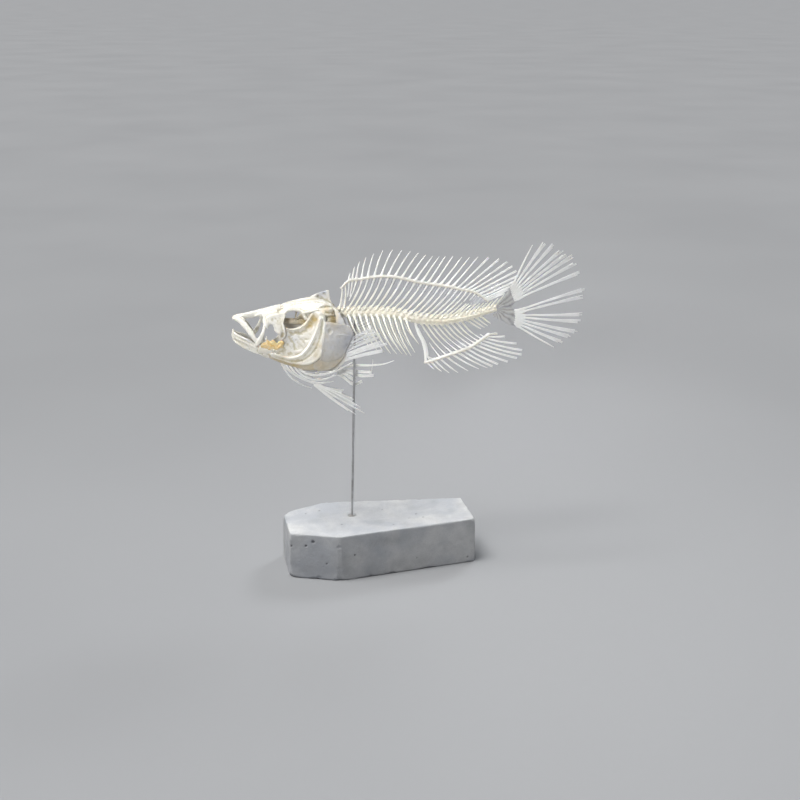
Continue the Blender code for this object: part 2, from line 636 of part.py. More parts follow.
# Cross-sections of the skull from the nose back: x, half width, and the heights of its lowest
# edge, its widest place, its shoulder and its top. The orbits lie where the lowest edge is high.
SKULL_SECTIONS = [
    (-76.0, 2.2, 173.6, 176.0, 177.6, 178.6),
    (-70.5, 4.4, 172.6, 177.0, 179.0, 180.0),
    (-65.0, 8.4, 172.6, 179.0, 181.0, 181.9),
    (-62.6, 8.2, 179.6, 181.2, 182.2, 182.4),
    (-60.5, 7.2, 181.6, 182.0, 184.0, 184.9),
    (-55.5, 6.2, 183.2, 182.8, 185.0, 185.8),
    (-50.8, 7.6, 181.6, 182.0, 185.3, 186.3),
    (-48.0, 10.4, 173.6, 180.0, 185.4, 186.6),
    (-43.0, 12.6, 170.6, 179.2, 185.4, 187.0),
    (-36.0, 12.0, 170.6, 178.6, 184.4, 186.8),
    (-30.5, 7.5, 172.2, 177.6, 181.6, 184.0),
    (-27.6, 3.6, 173.6, 176.9, 179.6, 180.6),
]
CREST = [(-58.0, 184.0), (-52.8, 186.4), (-47.8, 187.2), (-39.2, 190.9), (-33.4, 192.6), (-31.2, 192.5),
         (-30.6, 186.4), (-28.4, 181.6), (-36.0, 180.0)]


def skull_section(half, low, middle, shoulder, top):
    right = [(0.3 * half, low), (half, middle), (0.72 * half, shoulder), (0.22 * half, top)]
    return right + [(-s, z) for s, z in reversed(right)]


def make_skull(bone):
    bm = bmesh.new()
    rings = []
    for x, half, low, middle, shoulder, top in SKULL_SECTIONS:
        section = skull_section(half, low, middle, shoulder, top)
        rings.append([bm.verts.new((x, s, z)) for s, z in section])
    for a, b in zip(rings, rings[1:]):
        bridge(bm, a, b)
    bm.faces.new(rings[0])
    bm.faces.new(rings[-1])
    skull = add_object("neurocranium", bm, bone)
    crest = flat_blade("crest", bone, CREST, mid_plane, 1.2)
    keel = rod_shape("parasphenoid", bone, [(-74, 0, 174.6), (-61, 0, 173.6), (-50, 0, 172.0), (-34, 0, 173.0)],
                     [2.4, 2.2, 2.2, 3.4], [2.6, 2.4, 2.8, 4.2], 6)
    strut = rod_shape("orbit_strut", bone, [(-54.0, 0, 173.2), (-51.5, 0, 178), (-48.6, 0, 183.0)],
                      [1.2, 1.1, 1.4], [1.2, 1.1, 1.6], 3, towards=(1, 0, 0))
    combine(skull, "UNION", crest, keel, strut)


# Jaws and face. Points are given for the left side.

PREMAXILLA_BACK = [(-93.4, -1.15, 178.0), (-84, -1.15, 178.9), (-75.2, -1.15, 180.4), (-63.4, -1.15, 183.7)]
PREMAXILLA_ARM = [(-94.2, -1.4, 177.6), (-91.6, -3.0, 176.8), (-88.0, -5.6, 173.8), (-84.4, -8.4, 169.2),
                  (-81.8, -10.4, 164.6), (-80.2, -11.2, 161.6)]
MAXILLA = [(-71.6, -5.6, 182.6), (-73.6, -8.0, 179.0), (-75.0, -10.0, 174.2), (-77.0, -11.6, 168.2), (-80.0, -12.8, 163.6),
           (-82.0, -13.0, 161.2)]
JAW_TOP = [(-94.9, -1.8, 169.6), (-93.6, -3.4, 167.9), (-90.6, -5.2, 166.3), (-85.1, -8.0, 164.2), (-79.9, -9.4, 160.9),
           (-74.8, -10.2, 159.3), (-70.3, -10.5, 157.4)]
JAW_LOW = [(-95.6, -1.8, 166.4), (-94.6, -3.0, 162.9), (-91.0, -5.2, 160.1), (-84.8, -7.8, 157.0), (-78.4, -9.4, 154.6),
           (-73.8, -10.2, 152.3), (-70.7, -10.5, 153.2)]
CORONOID = [(-75.2, -9.5, 157.4), (-74.6, -9.0, 161.6), (-74.0, -8.8, 165.8)]
LACHRYMAL_FRONT = [(-72.9, -9.3, 181.2), (-70.4, -10.2, 174.0), (-68.4, -11.4, 169.4), (-66.8, -12.2, 164.8)]
LACHRYMAL_BACK = [(-63.6, -9.8, 180.2), (-64.0, -11.0, 175.4), (-62.4, -11.8, 169.9), (-62.6, -12.3, 164.6)]
CHEEK_TOP = [(-69.0, -9.4, 157.9), (-66.4, -9.6, 162.3), (-61.2, -9.9, 169.4), (-51.0, -11.0, 171.3), (-45.2, -12.0, 174.0),
             (-41.6, -12.7, 176.2)]
CHEEK_LOW = [(-68.8, -9.8, 156.3), (-59.9, -10.9, 155.7), (-53.8, -11.8, 157.2), (-49.4, -12.5, 161.0), (-44.7, -13.0, 169.0),
             (-41.2, -13.0, 175.2)]
PREOPERCLE_IN = [(-69.3, -12.2, 155.6), (-59.6, -13.2, 154.9), (-53.2, -14.0, 156.4), (-48.9, -14.6, 160.4),
                 (-44.0, -15.0, 168.9), (-40.6, -14.6, 176.0)]
PREOPERCLE_OUT = [(-70.6, -11.8, 152.4), (-64.0, -12.8, 150.0), (-54.3, -14.2, 150.0), (-46.9, -15.2, 152.8),
                  (-41.6, -15.6, 160.3), (-37.2, -15.0, 176.6)]
OPERCLE_FRONT = [(-36.2, -15.6, 175.2), (-37.6, -16.2, 167.0), (-39.4, -16.2, 158.0), (-40.6, -15.6, 150.4)]
OPERCLE_BACK = [(-21.4, -13.9, 172.6), (-18.6, -14.2, 166.4), (-23.1, -14.8, 157.6), (-31.8, -14.8, 149.0)]
SUBOPERCLE_TOP = [(-41.2, -15.0, 149.4), (-36.0, -15.2, 148.8), (-31.6, -14.8, 148.3), (-24.0, -14.9, 155.8)]
SUBOPERCLE_LOW = [(-42.0, -13.6, 142.2), (-36.8, -13.4, 142.0), (-28.4, -13.6, 145.4), (-23.2, -14.2, 153.0)]
INTEROPERCLE_TOP = [(-70.2, -11.2, 151.2), (-60.0, -12.6, 149.1), (-52.0, -14.0, 149.4), (-42.0, -15.0, 151.4)]
INTEROPERCLE_LOW = [(-69.4, -11.0, 149.4), (-57.0, -12.0, 146.2), (-49.0, -12.6, 143.2), (-42.8, -13.4, 142.4)]
CLEITHRUM = [(-29.4, -8.8, 182.2), (-26.4, -10.8, 177.6), (-24.2, -11.8, 171.0), (-26.4, -12.0, 163.0), (-31.4, -11.6, 156.0),
             (-34.6, -10.6, 149.6), (-38.4, -7.0, 144.0), (-43.0, -2.4, 140.8)]
JAW_TISSUE_TOP = [(-77.6, -10.3, 162.2), (-73.4, -11.0, 164.2), (-69.6, -11.4, 163.4), (-67.4, -12.4, 161.8)]
JAW_TISSUE_LOW = [(-77.2, -11.2, 160.4), (-73.6, -11.8, 159.8), (-70.0, -12.4, 159.0), (-67.2, -12.8, 158.2)]


def make_premaxilla(bone, side, word):
    arm = rod_shape("premaxilla_" + word, bone, mirrored(PREMAXILLA_ARM, side),
                    [2.2, 3.2, 3.6, 3.4, 2.8, 1.6], [1.5, 2.0, 1.9, 1.6, 1.4, 1.1], 8, towards=(1, 0, 0.6))
    back = rod_shape("ascending_" + word, bone, mirrored(PREMAXILLA_BACK, side),
                     [2.0, 2.3, 2.0, 1.2], [1.9, 1.7, 1.6, 1.2], 5)
    combine(arm, "UNION", back)


def make_jaws(bone, side, word):
    make_premaxilla(bone, side, word)
    rod_shape("maxilla_" + word, bone, mirrored(MAXILLA, side),
              [2.2, 2.6, 2.0, 2.4, 3.6, 1.8], [1.4, 1.5, 1.3, 1.2, 1.2, 0.9], 7, towards=(1, 0, 0))
    jaw = plate("lower_jaw_" + word, bone, JAW_TOP, JAW_LOW, 1.5, 0.5, 8, 2, side)
    coronoid = rod_shape("coronoid_" + word, bone, mirrored(CORONOID, side), [2.6, 1.6, 0.8], [1.0, 0.9, 0.7], 3, towards=(1, 0, 0))
    combine(jaw, "UNION", coronoid)
    plate("lachrymal_" + word, bone, LACHRYMAL_FRONT, LACHRYMAL_BACK, 0.8, 0.4, 4, 2, side)


def make_gill_cover(bone, clear_bone, side, word):
    plate("cheek_" + word, bone, CHEEK_TOP, CHEEK_LOW, 0.9, 0.5, 8, 2, side)
    plate("preopercle_" + word, bone, PREOPERCLE_IN, PREOPERCLE_OUT, 1.0, 0.3, 8, 2, side)
    plate("opercle_" + word, clear_bone, OPERCLE_FRONT, OPERCLE_BACK, 0.7, 1.6, 6, 4, side)
    plate("subopercle_" + word, clear_bone, SUBOPERCLE_TOP, SUBOPERCLE_LOW, 0.6, 0.3, 5, 2, side)
    plate("interopercle_" + word, bone, INTEROPERCLE_TOP, INTEROPERCLE_LOW, 0.7, 0.2, 5, 2, side)


# Hyoid bar and the five branchiostegal rays that hang from each

HYOID_BAR = [(-68.5, -2.6, 152.6), (-62.0, -6.0, 150.4), (-53.0, -8.6, 149.4)]
BRANCHIOSTEGALS = [
    [(-63.6, -8.6, 144.4), (-60.1, -9.0, 138.9), (-53.6, -9.0, 133.1), (-45.2, -9.0, 129.0)],
    [(-60.6, -8.4, 143.4), (-56.4, -8.4, 138.8), (-50.4, -8.0, 134.9), (-43.3, -7.6, 131.3)],
    [(-57.8, -8.8, 142.6), (-51.8, -8.6, 137.4), (-41.5, -8.6, 132.3), (-30.5, -8.2, 132.6)],
    [(-55.2, -9.6, 142.9), (-48.8, -10.4, 137.3), (-40.0, -10.8, 134.9), (-28.0, -10.5, 137.9)],
    [(-53.0, -10.2, 142.9), (-44.6, -11.6, 138.9), (-32.5, -12.0, 140.0), (-18.4, -11.0, 145.5)],
]


def make_hyoid(bone, side, word):
    rays = len(BRANCHIOSTEGALS)
    bar = along(mirrored(HYOID_BAR, side), 2 * rays + 2)
    bm = bmesh.new()
    rows = beam(bm, bar, [box_section(0.8, 1.5)] * len(bar))
    for k, ray in enumerate(BRANCHIOSTEGALS):
        face = rows[2 * k + 1][BOX_BOTTOM]
        grow(bm, face, mirrored(ray, side), [1.0, 1.0, 0.9, 0.6], [0.7, 0.65, 0.6, 0.5])
    add_object("hyoid_" + word, bm, bone)


# Paired fins and their girdles

PECTORAL_RAYS = 12
PECTORAL_BASE = [(-27.0, -11.4, 158.0), (-27.8, -11.4, 151.6), (-29.2, -11.2, 145.4)]
PECTORAL_ANGLE = [(0, 31), (4, 25), (8, 19), (11, 12.5)]
PECTORAL_LENGTH = [(0, 24), (3, 29), (8, 32.5), (9, 34.4), (11, 31)]
PECTORAL_SPLAY = -3.6  # the tips stand this much further out than the feet


def make_pectoral_fin(bone, side, word):
    bar = along(mirrored(PECTORAL_BASE, side), PECTORAL_RAYS + 1)
    bm = bmesh.new()
    rows = upright_bar(bm, bar, ((0.7, -0.6), (0.7, 0.6), (-0.7, 0.6), (-0.7, -0.6)))
    for n in range(PECTORAL_RAYS):
        face = rows[n][0]
        foot = face_middle(face)
        angle, length = math.radians(smooth(PECTORAL_ANGLE, n)), float(smooth(PECTORAL_LENGTH, n))
        end = foot + Vector((math.cos(angle) * length, -side * PECTORAL_SPLAY, math.sin(angle) * length))
        path = [foot.lerp(end, t) + Vector((0, 0, 0.5 * math.sin(math.pi * t))) for t in (0.5, 1.0)]
        grow(bm, face, path, [0.65, 0.55], [0.55, 0.5])
    add_object("pectoral_fin_" + word, bm, bone)


def make_girdle(bone, side, word):
    rod_shape("pectoral_girdle_" + word, bone, mirrored(CLEITHRUM, side),
              [1.6, 2.6, 3.6, 3.4, 3.6, 3.8, 3.6, 2.0], [1.2, 1.2, 1.2, 1.1, 1.1, 1.1, 1.2, 1.2], 10, towards=(1, 0, 0))


LEFT_PELVIC_GIRDLE = [(-40.4, -2.6, 138.4), (-41.8, -3.2, 135.4), (-43.6, -4.2, 132.4)]
RIGHT_PELVIC_GIRDLE = [(-39.0, 2.8, 139.0), (-32.0, 4.0, 137.6), (-25.6, 5.0, 136.4)]
# The left fin hangs folded, its rays still webbed together except at their tips
LEFT_PELVIC_OUTLINE = [
    (-43.4, 130.4), (-40.7, 131.2), (-37.7, 131.0), (-32.2, 127.6), (-24.2, 125.0), (-18.8, 120.8), (-12.3, 113.4),
    (-12.9, 112.7), (-17.4, 115.7), (-9.7, 109.1), (-10.5, 108.2), (-21.7, 116.4), (-15.4, 108.3), (-16.3, 107.5),
    (-25.0, 115.6), (-20.8, 110.7), (-21.7, 109.9), (-32.3, 119.4), (-38.4, 124.4)
]
RIGHT_PELVIC_BASE = [(-24.0, 5.0, 137.3), (-25.6, 5.0, 133.2)]
RIGHT_PELVIC_RAYS = [
    [(-15.0, 6.4, 138.2), (-3.0, 6.4, 137.7), (7.2, 6.2, 138.3), (13.4, 6.0, 140.2)],
    [(-17.0, 6.2, 135.0), (-10.0, 6.2, 133.7), (-2.1, 6.0, 132.9)],
    [(-18.0, 6.0, 133.6), (-8.7, 6.0, 130.8), (-0.7, 6.0, 130.6)],
    [(-20.0, 5.6, 132.4), (-13.4, 5.6, 127.6)],
    [(-22.0, 5.0, 131.2), (-14.3, 5.0, 125.5), (-9.0, 5.0, 127.2)],
]


def left_pelvic_side(x, z):
    return -4.6 - 0.05 * (x + 43.0)


def make_pelvic_fins(bone):
    rod_shape("pelvic_girdle_left", bone, LEFT_PELVIC_GIRDLE, [3.2, 3.6, 2.6], [1.0, 1.2, 1.2], 4, towards=(1, 0, 0))
    rod_shape("pelvic_girdle_right", bone, RIGHT_PELVIC_GIRDLE, [2.2, 3.0, 2.4], [1.0, 1.2, 1.2], 4)
    flat_blade("pelvic_fin_left", bone, LEFT_PELVIC_OUTLINE, left_pelvic_side, 0.8)
    bar = along(RIGHT_PELVIC_BASE, 2 * len(RIGHT_PELVIC_RAYS))
    bm = bmesh.new()
    rows = upright_bar(bm, bar, ((0.6, -0.6), (0.6, 0.6), (-0.6, 0.6), (-0.6, -0.6)))
    for k, ray in enumerate(RIGHT_PELVIC_RAYS):
        count = len(ray)
        grow(bm, rows[2 * k][0], ray, blended([0.9, 1.2, 0.6], count), blended([0.7, 0.6, 0.5], count))
    add_object("pelvic_fin_right", bm, bone)


def clear_scene():
    for obj in list(bpy.data.objects):
        bpy.data.objects.remove(obj, do_unlink=True)


def main():
    clear_scene()
    ivory = material("ivory bone", (0.82, 0.80, 0.72), 0.55)
    cream = material("cream bone", (0.80, 0.76, 0.60), 0.5)
    clear_bone = material("clear bone", (0.62, 0.62, 0.64), 0.4)
    concrete = material("concrete", (0.42, 0.43, 0.45), 0.9)
    steel = material("steel", (0.30, 0.30, 0.31), 0.35, 1.0)
    glue = material("glue", (0.55, 0.55, 0.52), 0.5)
    tissue = material("dried tissue", (0.80, 0.58, 0.22), 0.5)
    make_base(concrete, glue)
    make_rod(steel)
    make_backbone(cream)
    make_ribs(cream)
    make_dorsal_fin(cream)
    make_anal_fin(cream)
    make_tail(clear_bone, ivory)
    make_skull(ivory)
    for side, word in ((-1, "left"), (1, "right")):
        make_jaws(ivory, side, word)
        make_gill_cover(ivory, clear_bone, side, word)
        make_hyoid(ivory, side, word)
        make_girdle(ivory, side, word)
        make_pectoral_fin(ivory, side, word)
    make_pelvic_fins(ivory)
    plate("jaw_tissue", tissue, JAW_TISSUE_TOP, JAW_TISSUE_LOW, 1.2, 0.5, 5, 2)


main()
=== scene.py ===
"""The mounted skeleton of a large cichlid fish, shown on a plain pale floor.

Shapes are written in the fish's own millimetres: (x, side, z), where side is the distance from the fish's
middle plane and counts as negative on its left. World places are metres.
"""

import math

import bpy
import numpy as np
from mathutils import Matrix, Vector
from mathutils.geometry import delaunay_2d_cdt, tessellate_polygon


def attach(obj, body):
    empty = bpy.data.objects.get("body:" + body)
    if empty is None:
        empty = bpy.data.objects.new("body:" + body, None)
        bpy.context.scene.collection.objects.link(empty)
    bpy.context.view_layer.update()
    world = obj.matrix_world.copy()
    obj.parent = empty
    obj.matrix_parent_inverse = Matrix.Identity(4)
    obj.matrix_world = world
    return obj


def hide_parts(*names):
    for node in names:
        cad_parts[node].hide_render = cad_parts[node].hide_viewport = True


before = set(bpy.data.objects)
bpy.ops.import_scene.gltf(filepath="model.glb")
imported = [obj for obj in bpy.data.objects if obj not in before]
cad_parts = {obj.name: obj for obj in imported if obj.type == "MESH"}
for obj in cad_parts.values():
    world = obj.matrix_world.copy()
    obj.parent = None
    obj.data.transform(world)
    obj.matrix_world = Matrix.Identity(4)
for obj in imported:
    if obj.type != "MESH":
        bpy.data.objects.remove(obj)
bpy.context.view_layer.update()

MM = 0.001
MID_Y = 4.2  # middle plane of the fish
SIDES = ((-1, "left"), (1, "right"))

# Measures that the solids share

BASE_HEIGHT, BASE_LENGTH = 32.0, 128.4
HEAD_WIDTH, SHOULDER_WIDTH, FOOT_WIDTH = 37.2, 62.9, 39.2
SHOULDER_AT = 31.7  # from the head end
BASE_DRAFT = 0.6
SOCKET_RADIUS = 3.1
SOCKET_SHOWS = 2.2  # how far down the socket is open above the glue
ROD_RADIUS = 0.8
ROD_FOOT_X, ROD_LEAN = -17.8, math.radians(1.5)

VERTEBRAE, TRUNK_VERTEBRAE = 31, 14
VERTEBRA_X = [(-0.5, -27), (0, -25.5), (2, -19.4), (7, -0.5), (13, 22.7), (19, 44), (25, 64.7), (31, 84.4)]
COLUMN_Z = [(-27, 176.9), (-4, 176.3), (11, 174.6), (27, 170.5), (44, 168.1), (60, 169.7), (85, 174.8)]
COLUMN_RADIUS = [(-27, 3.1), (-5, 3.2), (22, 3.3), (44, 2.7), (65, 2.4), (85, 2)]
NEURAL_REACH = [(0, 0.64), (19, 0.64), (22, 0.56)]
HAEMAL_REACH = 0.7
FIRST_FREE_NEURAL, FIRST_FREE_HAEMAL, LAST_HAEMAL = 22, 24, 27
NEURAL_BOW, HAEMAL_BOW = -0.9, -1.3
FREE_NEURAL_LENGTH = [(20, 12.5), (22, 11), (24, 9), (26, 7.4), (28, 7.2), (30, 9.5)]
FREE_NEURAL_ANGLE = [(20, 41), (22, 42), (25, 44), (30, 50)]
FREE_HAEMAL_LENGTH = [(24, 12.4), (26, 10.5), (28, 7.5), (30, 6)]
FREE_HAEMAL_ANGLE = [(24, -34), (28, -40), (30, -38)]
NEURAL_TARGET = [(2, 3.86), (20, 21.86), (26, 27.86)]
HAEMAL_TARGET = [(14, 40), (15, 48.4), (16, 52.3), (18, 59.6), (20, 65.6), (22, 70.5), (24, 74.6)]
FRONT_TARGETS, FRONT_REACH = [(-22.7, 195.4), (-20.6, 196.8)], 0.93  # the first spines end before the bar
RIDGE_HALF = 1.05
# Painted shade in the grooves is full at this depth.
GROOVE_SHADE_DEPTH = 0.12  # the depth at which a groove is coloured in full

DORSAL_RIDGE = [
    (-22.9, 193.8), (-20.2, 196.8), (-10, 199.2), (8, 200.2), (30, 195.1), (56, 189.7), (70.5, 185), (76.8, 180)
]
DORSAL_RAYS, DORSAL_SPINES, DORSAL_FRONT = 28, 18, -23.4
DORSAL_GUSSET = [(63, -0.9, 177.7), (67.3, -0.9, 184.4), (76, -0.9, 180.2)]  # the skin behind the last spines
DORSAL_X = [
    (1, -18), (3, -12.9), (5, -5.3), (7, 3.7), (12, 26.5), (16, 43.7), (19, 55.8), (22, 65.3), (25, 72.9), (28, 76.6)
]
DORSAL_LENGTH = [
    (1, 5.2), (3, 12), (5, 16.4), (7, 18.8), (9, 19.6), (12, 20), (15, 22.4), (18, 26.4), (20, 31.6), (22, 32.2),
    (24, 29), (26, 20.3), (28, 12.4)
]
DORSAL_BEND = [(1, 6), (8, 6), (13, 1), (28, 0)]
DORSAL_DRIFT = [(1, 0), (22, 0), (24, -1.6), (28, -1.6)]
DORSAL_ANGLE = [
    (1, 79), (4, 78), (6, 71), (8, 60), (12, 52), (15, 53.5), (16, 49.5), (18, 47), (20, 37), (23, 26), (28, 24)
]

ANAL_RIDGE = [(33.6, 139.4), (41, 141.2), (53, 144.7), (66, 149), (72, 152.6), (78, 156.8)]
ANAL_RAYS, ANAL_SPINES, ANAL_FRONT = 16, 7, 33.6
ANAL_X = [(1, 35), (3, 40.2), (6, 52.3), (9, 62.9), (12, 70.5), (14, 74.6), (16, 77.5)]
ANAL_LENGTH = [
    (1, 7.5), (3, 14.5), (5, 19.6), (7, 25), (9, 25.5), (11, 32.4), (13, 30.7), (14, 24), (15, 13.4), (16, 6.7)
]
ANAL_ANGLE = [(1, -48), (4, -41), (6, -32), (9, -29.5), (11, -21), (13, -17), (14, -13), (15, -4), (16, 2)]
ANAL_LINES = [(3, 14.5), (4, 14.8), (5, 15.14), (14, 24.14)]
ANAL_REACH = [(4, 0.55), (5, 0.44), (11, 0.42), (14, 0.82)]
ANAL_STRUT = [(34.2, 140.2), (34, 147), (32.4, 154), (29.4, 160), (27.4, 164.6), (26.6, 167.8)]

CAUDAL_RAYS = 8
TAIL_ROOT = (82, 174.5)  # where the lines of the tail's fan meet
CAUDAL_UPPER_ANGLE = [(1, 64.5), (2, 55), (3, 48), (4, 40), (6, 33), (7, 28), (8, 20.5)]
CAUDAL_UPPER_LENGTH = [(1, 29), (2, 34.8), (4, 41.2), (6, 45), (8, 45)]
CAUDAL_LOWER_ANGLE = [(1, 15), (2, 11), (3, -2.5), (4, -7), (5, -15), (6, -19), (8, -32)]
CAUDAL_LOWER_LENGTH = [(1, 47.4), (2, 47.6), (3, 44.4), (5, 42.8), (6, 39), (8, 30.4)]
UPPER_HYPURAL = [(83.6, 177), (88.6, 182.6), (92.6, 189.6), (97, 179.6), (94, 175.4), (83.6, 174.9)]
LOWER_HYPURAL = [
    (83.6, 174.2), (94, 174.4), (97.1, 172.4), (97.6, 167), (96.6, 161.2), (92, 162.9), (80.6, 169.2), (80.6, 170.8),
    (83.6, 171.8)
]
UPPER_RAY_BASE = [(94.1, 190.2), (98.4, 180.1)]
LOWER_RAY_BASE = [(98.6, 172.6), (99.1, 167), (98.1, 161.2)]

RIB_PAIRS = 11
RIB_DROP = [(0, 15), (1, 19), (3, 23.5), (6, 24.5), (9, 22.5), (10, 16)]
RIB_SWEEP = [(0, 6), (2, 9.5), (6, 11), (10, 7.6)]
RIB_BOW = [(0, 7.5), (2, 9.5), (5, 10.2), (8, 9), (10, 6.5)]

# Cross sections of the braincase: x, half width, and z of its floor, widest level, shoulder and roof
SKULL_SECTIONS = [
    (-76, 2.2, 173.6, 176, 177.6, 178.6), (-70.5, 4.4, 172.6, 177, 179, 180), (-65, 8.4, 172.6, 179, 181, 181.9),
    (-62.6, 8.2, 179.6, 181.2, 182.2, 182.4), (-60.5, 7.2, 181.6, 182, 184, 184.9),
    (-55.5, 6.2, 183.2, 182.8, 185, 185.8), (-50.8, 7.6, 181.6, 182, 185.3, 186.3),
    (-48, 10.4, 173.6, 180, 185.4, 186.6), (-43, 12.6, 170.6, 179.2, 185.4, 187),
    (-36, 12, 170.6, 178.6, 184.4, 186.8), (-30.5, 7.5, 172.2, 177.6, 181.6, 184),
    (-27.6, 3.6, 173.6, 176.9, 179.6, 180.6)
]
CREST = [
    (-58, 184), (-52.8, 186.4), (-47.8, 187.2), (-39.2, 190.9), (-33.4, 192.6), (-31.2, 192.5), (-30.6, 186.4),
    (-28.4, 181.6), (-36, 180)
]

# Keels in its middle plane: points, breadths, thicknesses and how many rings
SKULL_KEELS = [
    ([(-58, 184.4), (-50, 186.4), (-42, 187.4), (-33, 184.8)], [1, 2.2, 3, 2], [1, 2, 2.6, 2], 16),
    ([(-74, 174.6), (-61, 173.8), (-50, 172.4), (-34, 173)], [2.8, 3.6, 4.2, 4.2], [2.4, 2.6, 2.8, 3.4], 16),
    ([(-29.6, 176.9), (-27.2, 176.9)], [5.6, 5.2], [5.4, 5], 6)
]
# Ridges of its left side: points, breadths and thicknesses
SKULL_RIDGES = [
    ([(-64.2, -8.6, 175.4), (-63, -9, 179), (-60.6, -8.4, 181.6), (-56, -7.4, 182.4), (-52.4, -7.8, 181.9),
      (-49.8, -9.4, 180.2), (-48.6, -10.4, 176.6)],
     [1.8, 2.2, 2, 1.8, 2, 2.6, 2.2], [1.4, 1.4, 1.3, 1.4, 1.5, 1.7, 1.4]),
    ([(-51, -8.4, 181), (-52.2, -6, 178.4), (-53.2, -3.2, 175.8), (-53.6, -0.9, 174)], [1.4, 1.1, 1.2, 1.5],
     [1, 0.8, 0.9, 1]),
    ([(-66, -3, 181.6), (-60, -3.4, 184.4), (-53, -3.8, 186), (-46, -4.8, 186.6), (-39, -5.6, 186.7),
      (-33, -5.6, 184.7), (-30.4, -4.6, 182.8)], [1, 1, 1, 1.2, 1.5, 1.3, 1], 1),
    ([(-49.6, -10.3, 180.8), (-45, -12, 182), (-41, -11.8, 182.6)], [1.4, 2, 1.4], [1.4, 1.6, 1.4]),
    ([(-41.4, -10.6, 182.4), (-38.8, -9.6, 184.4), (-34.4, -8.8, 185), (-30.6, -7.6, 183.4), (-28.4, -6.4, 180.4)],
     [1.2, 1.6, 1.5, 1.4, 1.2], [1.4, 1.5, 1.5, 1.3, 1.2]),
    ([(-42.6, -12, 180.4), (-38.6, -12, 179.6), (-34, -10.8, 178.6), (-29.8, -8.6, 178.2)], [1.8, 2.2, 2, 1.6],
     [1.6, 1.8, 1.7, 1.4]),
    ([(-49.4, -10.4, 178), (-44, -11.8, 175.6), (-37.5, -11.4, 174.4), (-32, -8.6, 173.8)], [1.3, 1.5, 1.4, 1], 1.3),
    ([(-77, -1.6, 177.8), (-72, -4.6, 179.6), (-67, -6.6, 181)], [2.2, 3.6, 3.2], [2, 2.6, 2.6]),
    ([(-80.5, -2.3, 178.4), (-76, -2.8, 179.6), (-70, -3.6, 181.2), (-64, -3.8, 182.9)], [1.6, 2.6, 2.8, 2],
     [1.2, 1.6, 1.8, 1.4]),
]
# Its domes: centre and radii
SKULL_DOMES = [
    ((-34.6, -8.2, 181.4), (5, 2.9, 2.4)), ((-37, -7.6, 173.8), (5.2, 3.6, 2.8)),
    ((-30.4, -5.6, 178.6), (2.4, 2.4, 2.6)), ((-31.8, -8, 174.8), (4.8, 2.8, 2.8))
]
# Its hollows: centre, radius and depth
SKULL_HOLLOWS = [
    ((-45, 11.6, 178.6), 2.2, 0.6), ((-31, 8, 175.6), 1.8, 0.8), ((-68.2, 6.5, 180.4), 0.8, 0.5),
    ((-67, 7.4, 176.6), 1.6, 0.4), ((-45, 8, 185), 2.2, 0.35), ((-38.6, 0.8, 189.2), 1, 0.25),
    ((-34.6, 0.8, 190.4), 1.6, 0.2)
]

PREMAXILLA_BACK = [(-93.4, -1.15, 178), (-84, -1.15, 178.9), (-75.2, -1.15, 180.4), (-63.4, -1.15, 183.7)]
PREMAXILLA_ARM = [
    (-94.2, -1.4, 177.6), (-91.6, -3, 176.8), (-88, -5.6, 173.8), (-84.4, -8.4, 169.2), (-81.8, -10.4, 164.6),
    (-80.2, -11.2, 161.6)
]
MAXILLA = [
    (-73.8, -5.4, 179.8), (-74.6, -7, 178.2), (-74.8, -9.2, 174.8), (-75.9, -10.9, 170.9), (-77.9, -12, 166.6),
    (-80.6, -12.9, 162.5), (-81.8, -13, 161)
]
UPPER_GUM = [(-93.4, -2.4, 175.9), (-91.4, -3.8, 174.9), (-89.6, -5.2, 172.9), (-88, -6.4, 170.8)]
LOWER_GUM = [(-94.4, -2.4, 169.3), (-92.6, -3.9, 167.5), (-90.2, -5.1, 166.5), (-88.4, -6.2, 165.8)]
JAW_TOP = [
    (-94.9, -1.8, 169.6), (-93.6, -3.4, 167.9), (-90.6, -5.2, 166.3), (-85.1, -8, 164.2), (-79.9, -9.4, 160.9),
    (-74.8, -10.2, 159.3), (-70.3, -10.5, 157.4)
]
JAW_LOW = [
    (-95.6, -1.8, 166.4), (-94.6, -3, 162.9), (-91, -5.2, 160.1), (-84.8, -7.8, 157), (-78.4, -9.4, 154.6),
    (-73.8, -10.2, 152.3), (-70.7, -10.5, 153.2)
]
CORONOID = [(-75.2, -9.5, 157.4), (-74.6, -9, 161.6), (-74, -8.8, 165.8)]
LACHRYMAL_FRONT = [(-72.9, -9.3, 181.2), (-70.4, -10.2, 174), (-68.4, -11.4, 169.4), (-66.8, -12.2, 164.8)]
LACHRYMAL_BACK = [(-63.6, -9.8, 180.2), (-64, -11, 175.4), (-62.4, -11.8, 169.9), (-62.6, -12.3, 164.6)]
CHEEK_TOP = [
    (-69, -9.4, 157.9), (-66.4, -9.6, 162.3), (-61.2, -9.9, 169.4), (-51, -11, 171.3), (-45.2, -12, 174),
    (-41.6, -12.7, 176.2)
]
CHEEK_LOW = [
    (-68.8, -9.8, 156.3), (-59.9, -10.9, 155.7), (-53.8, -11.8, 157.2), (-49.4, -12.5, 161), (-44.7, -13, 169),
    (-41.2, -13, 175.2)
]
PREOPERCLE_IN = [
    (-69.3, -12.2, 155.6), (-59.6, -13.2, 154.9), (-53.2, -14, 156.4), (-48.9, -14.6, 160.4), (-44, -15, 168.9),
    (-40.6, -14.6, 176)
]
PREOPERCLE_OUT = [
    (-70.6, -11.8, 152.4), (-64, -12.8, 150), (-54.3, -14.2, 150), (-46.9, -15.2, 152.8), (-41.6, -15.6, 160.3),
    (-37.2, -15, 176.6)
]
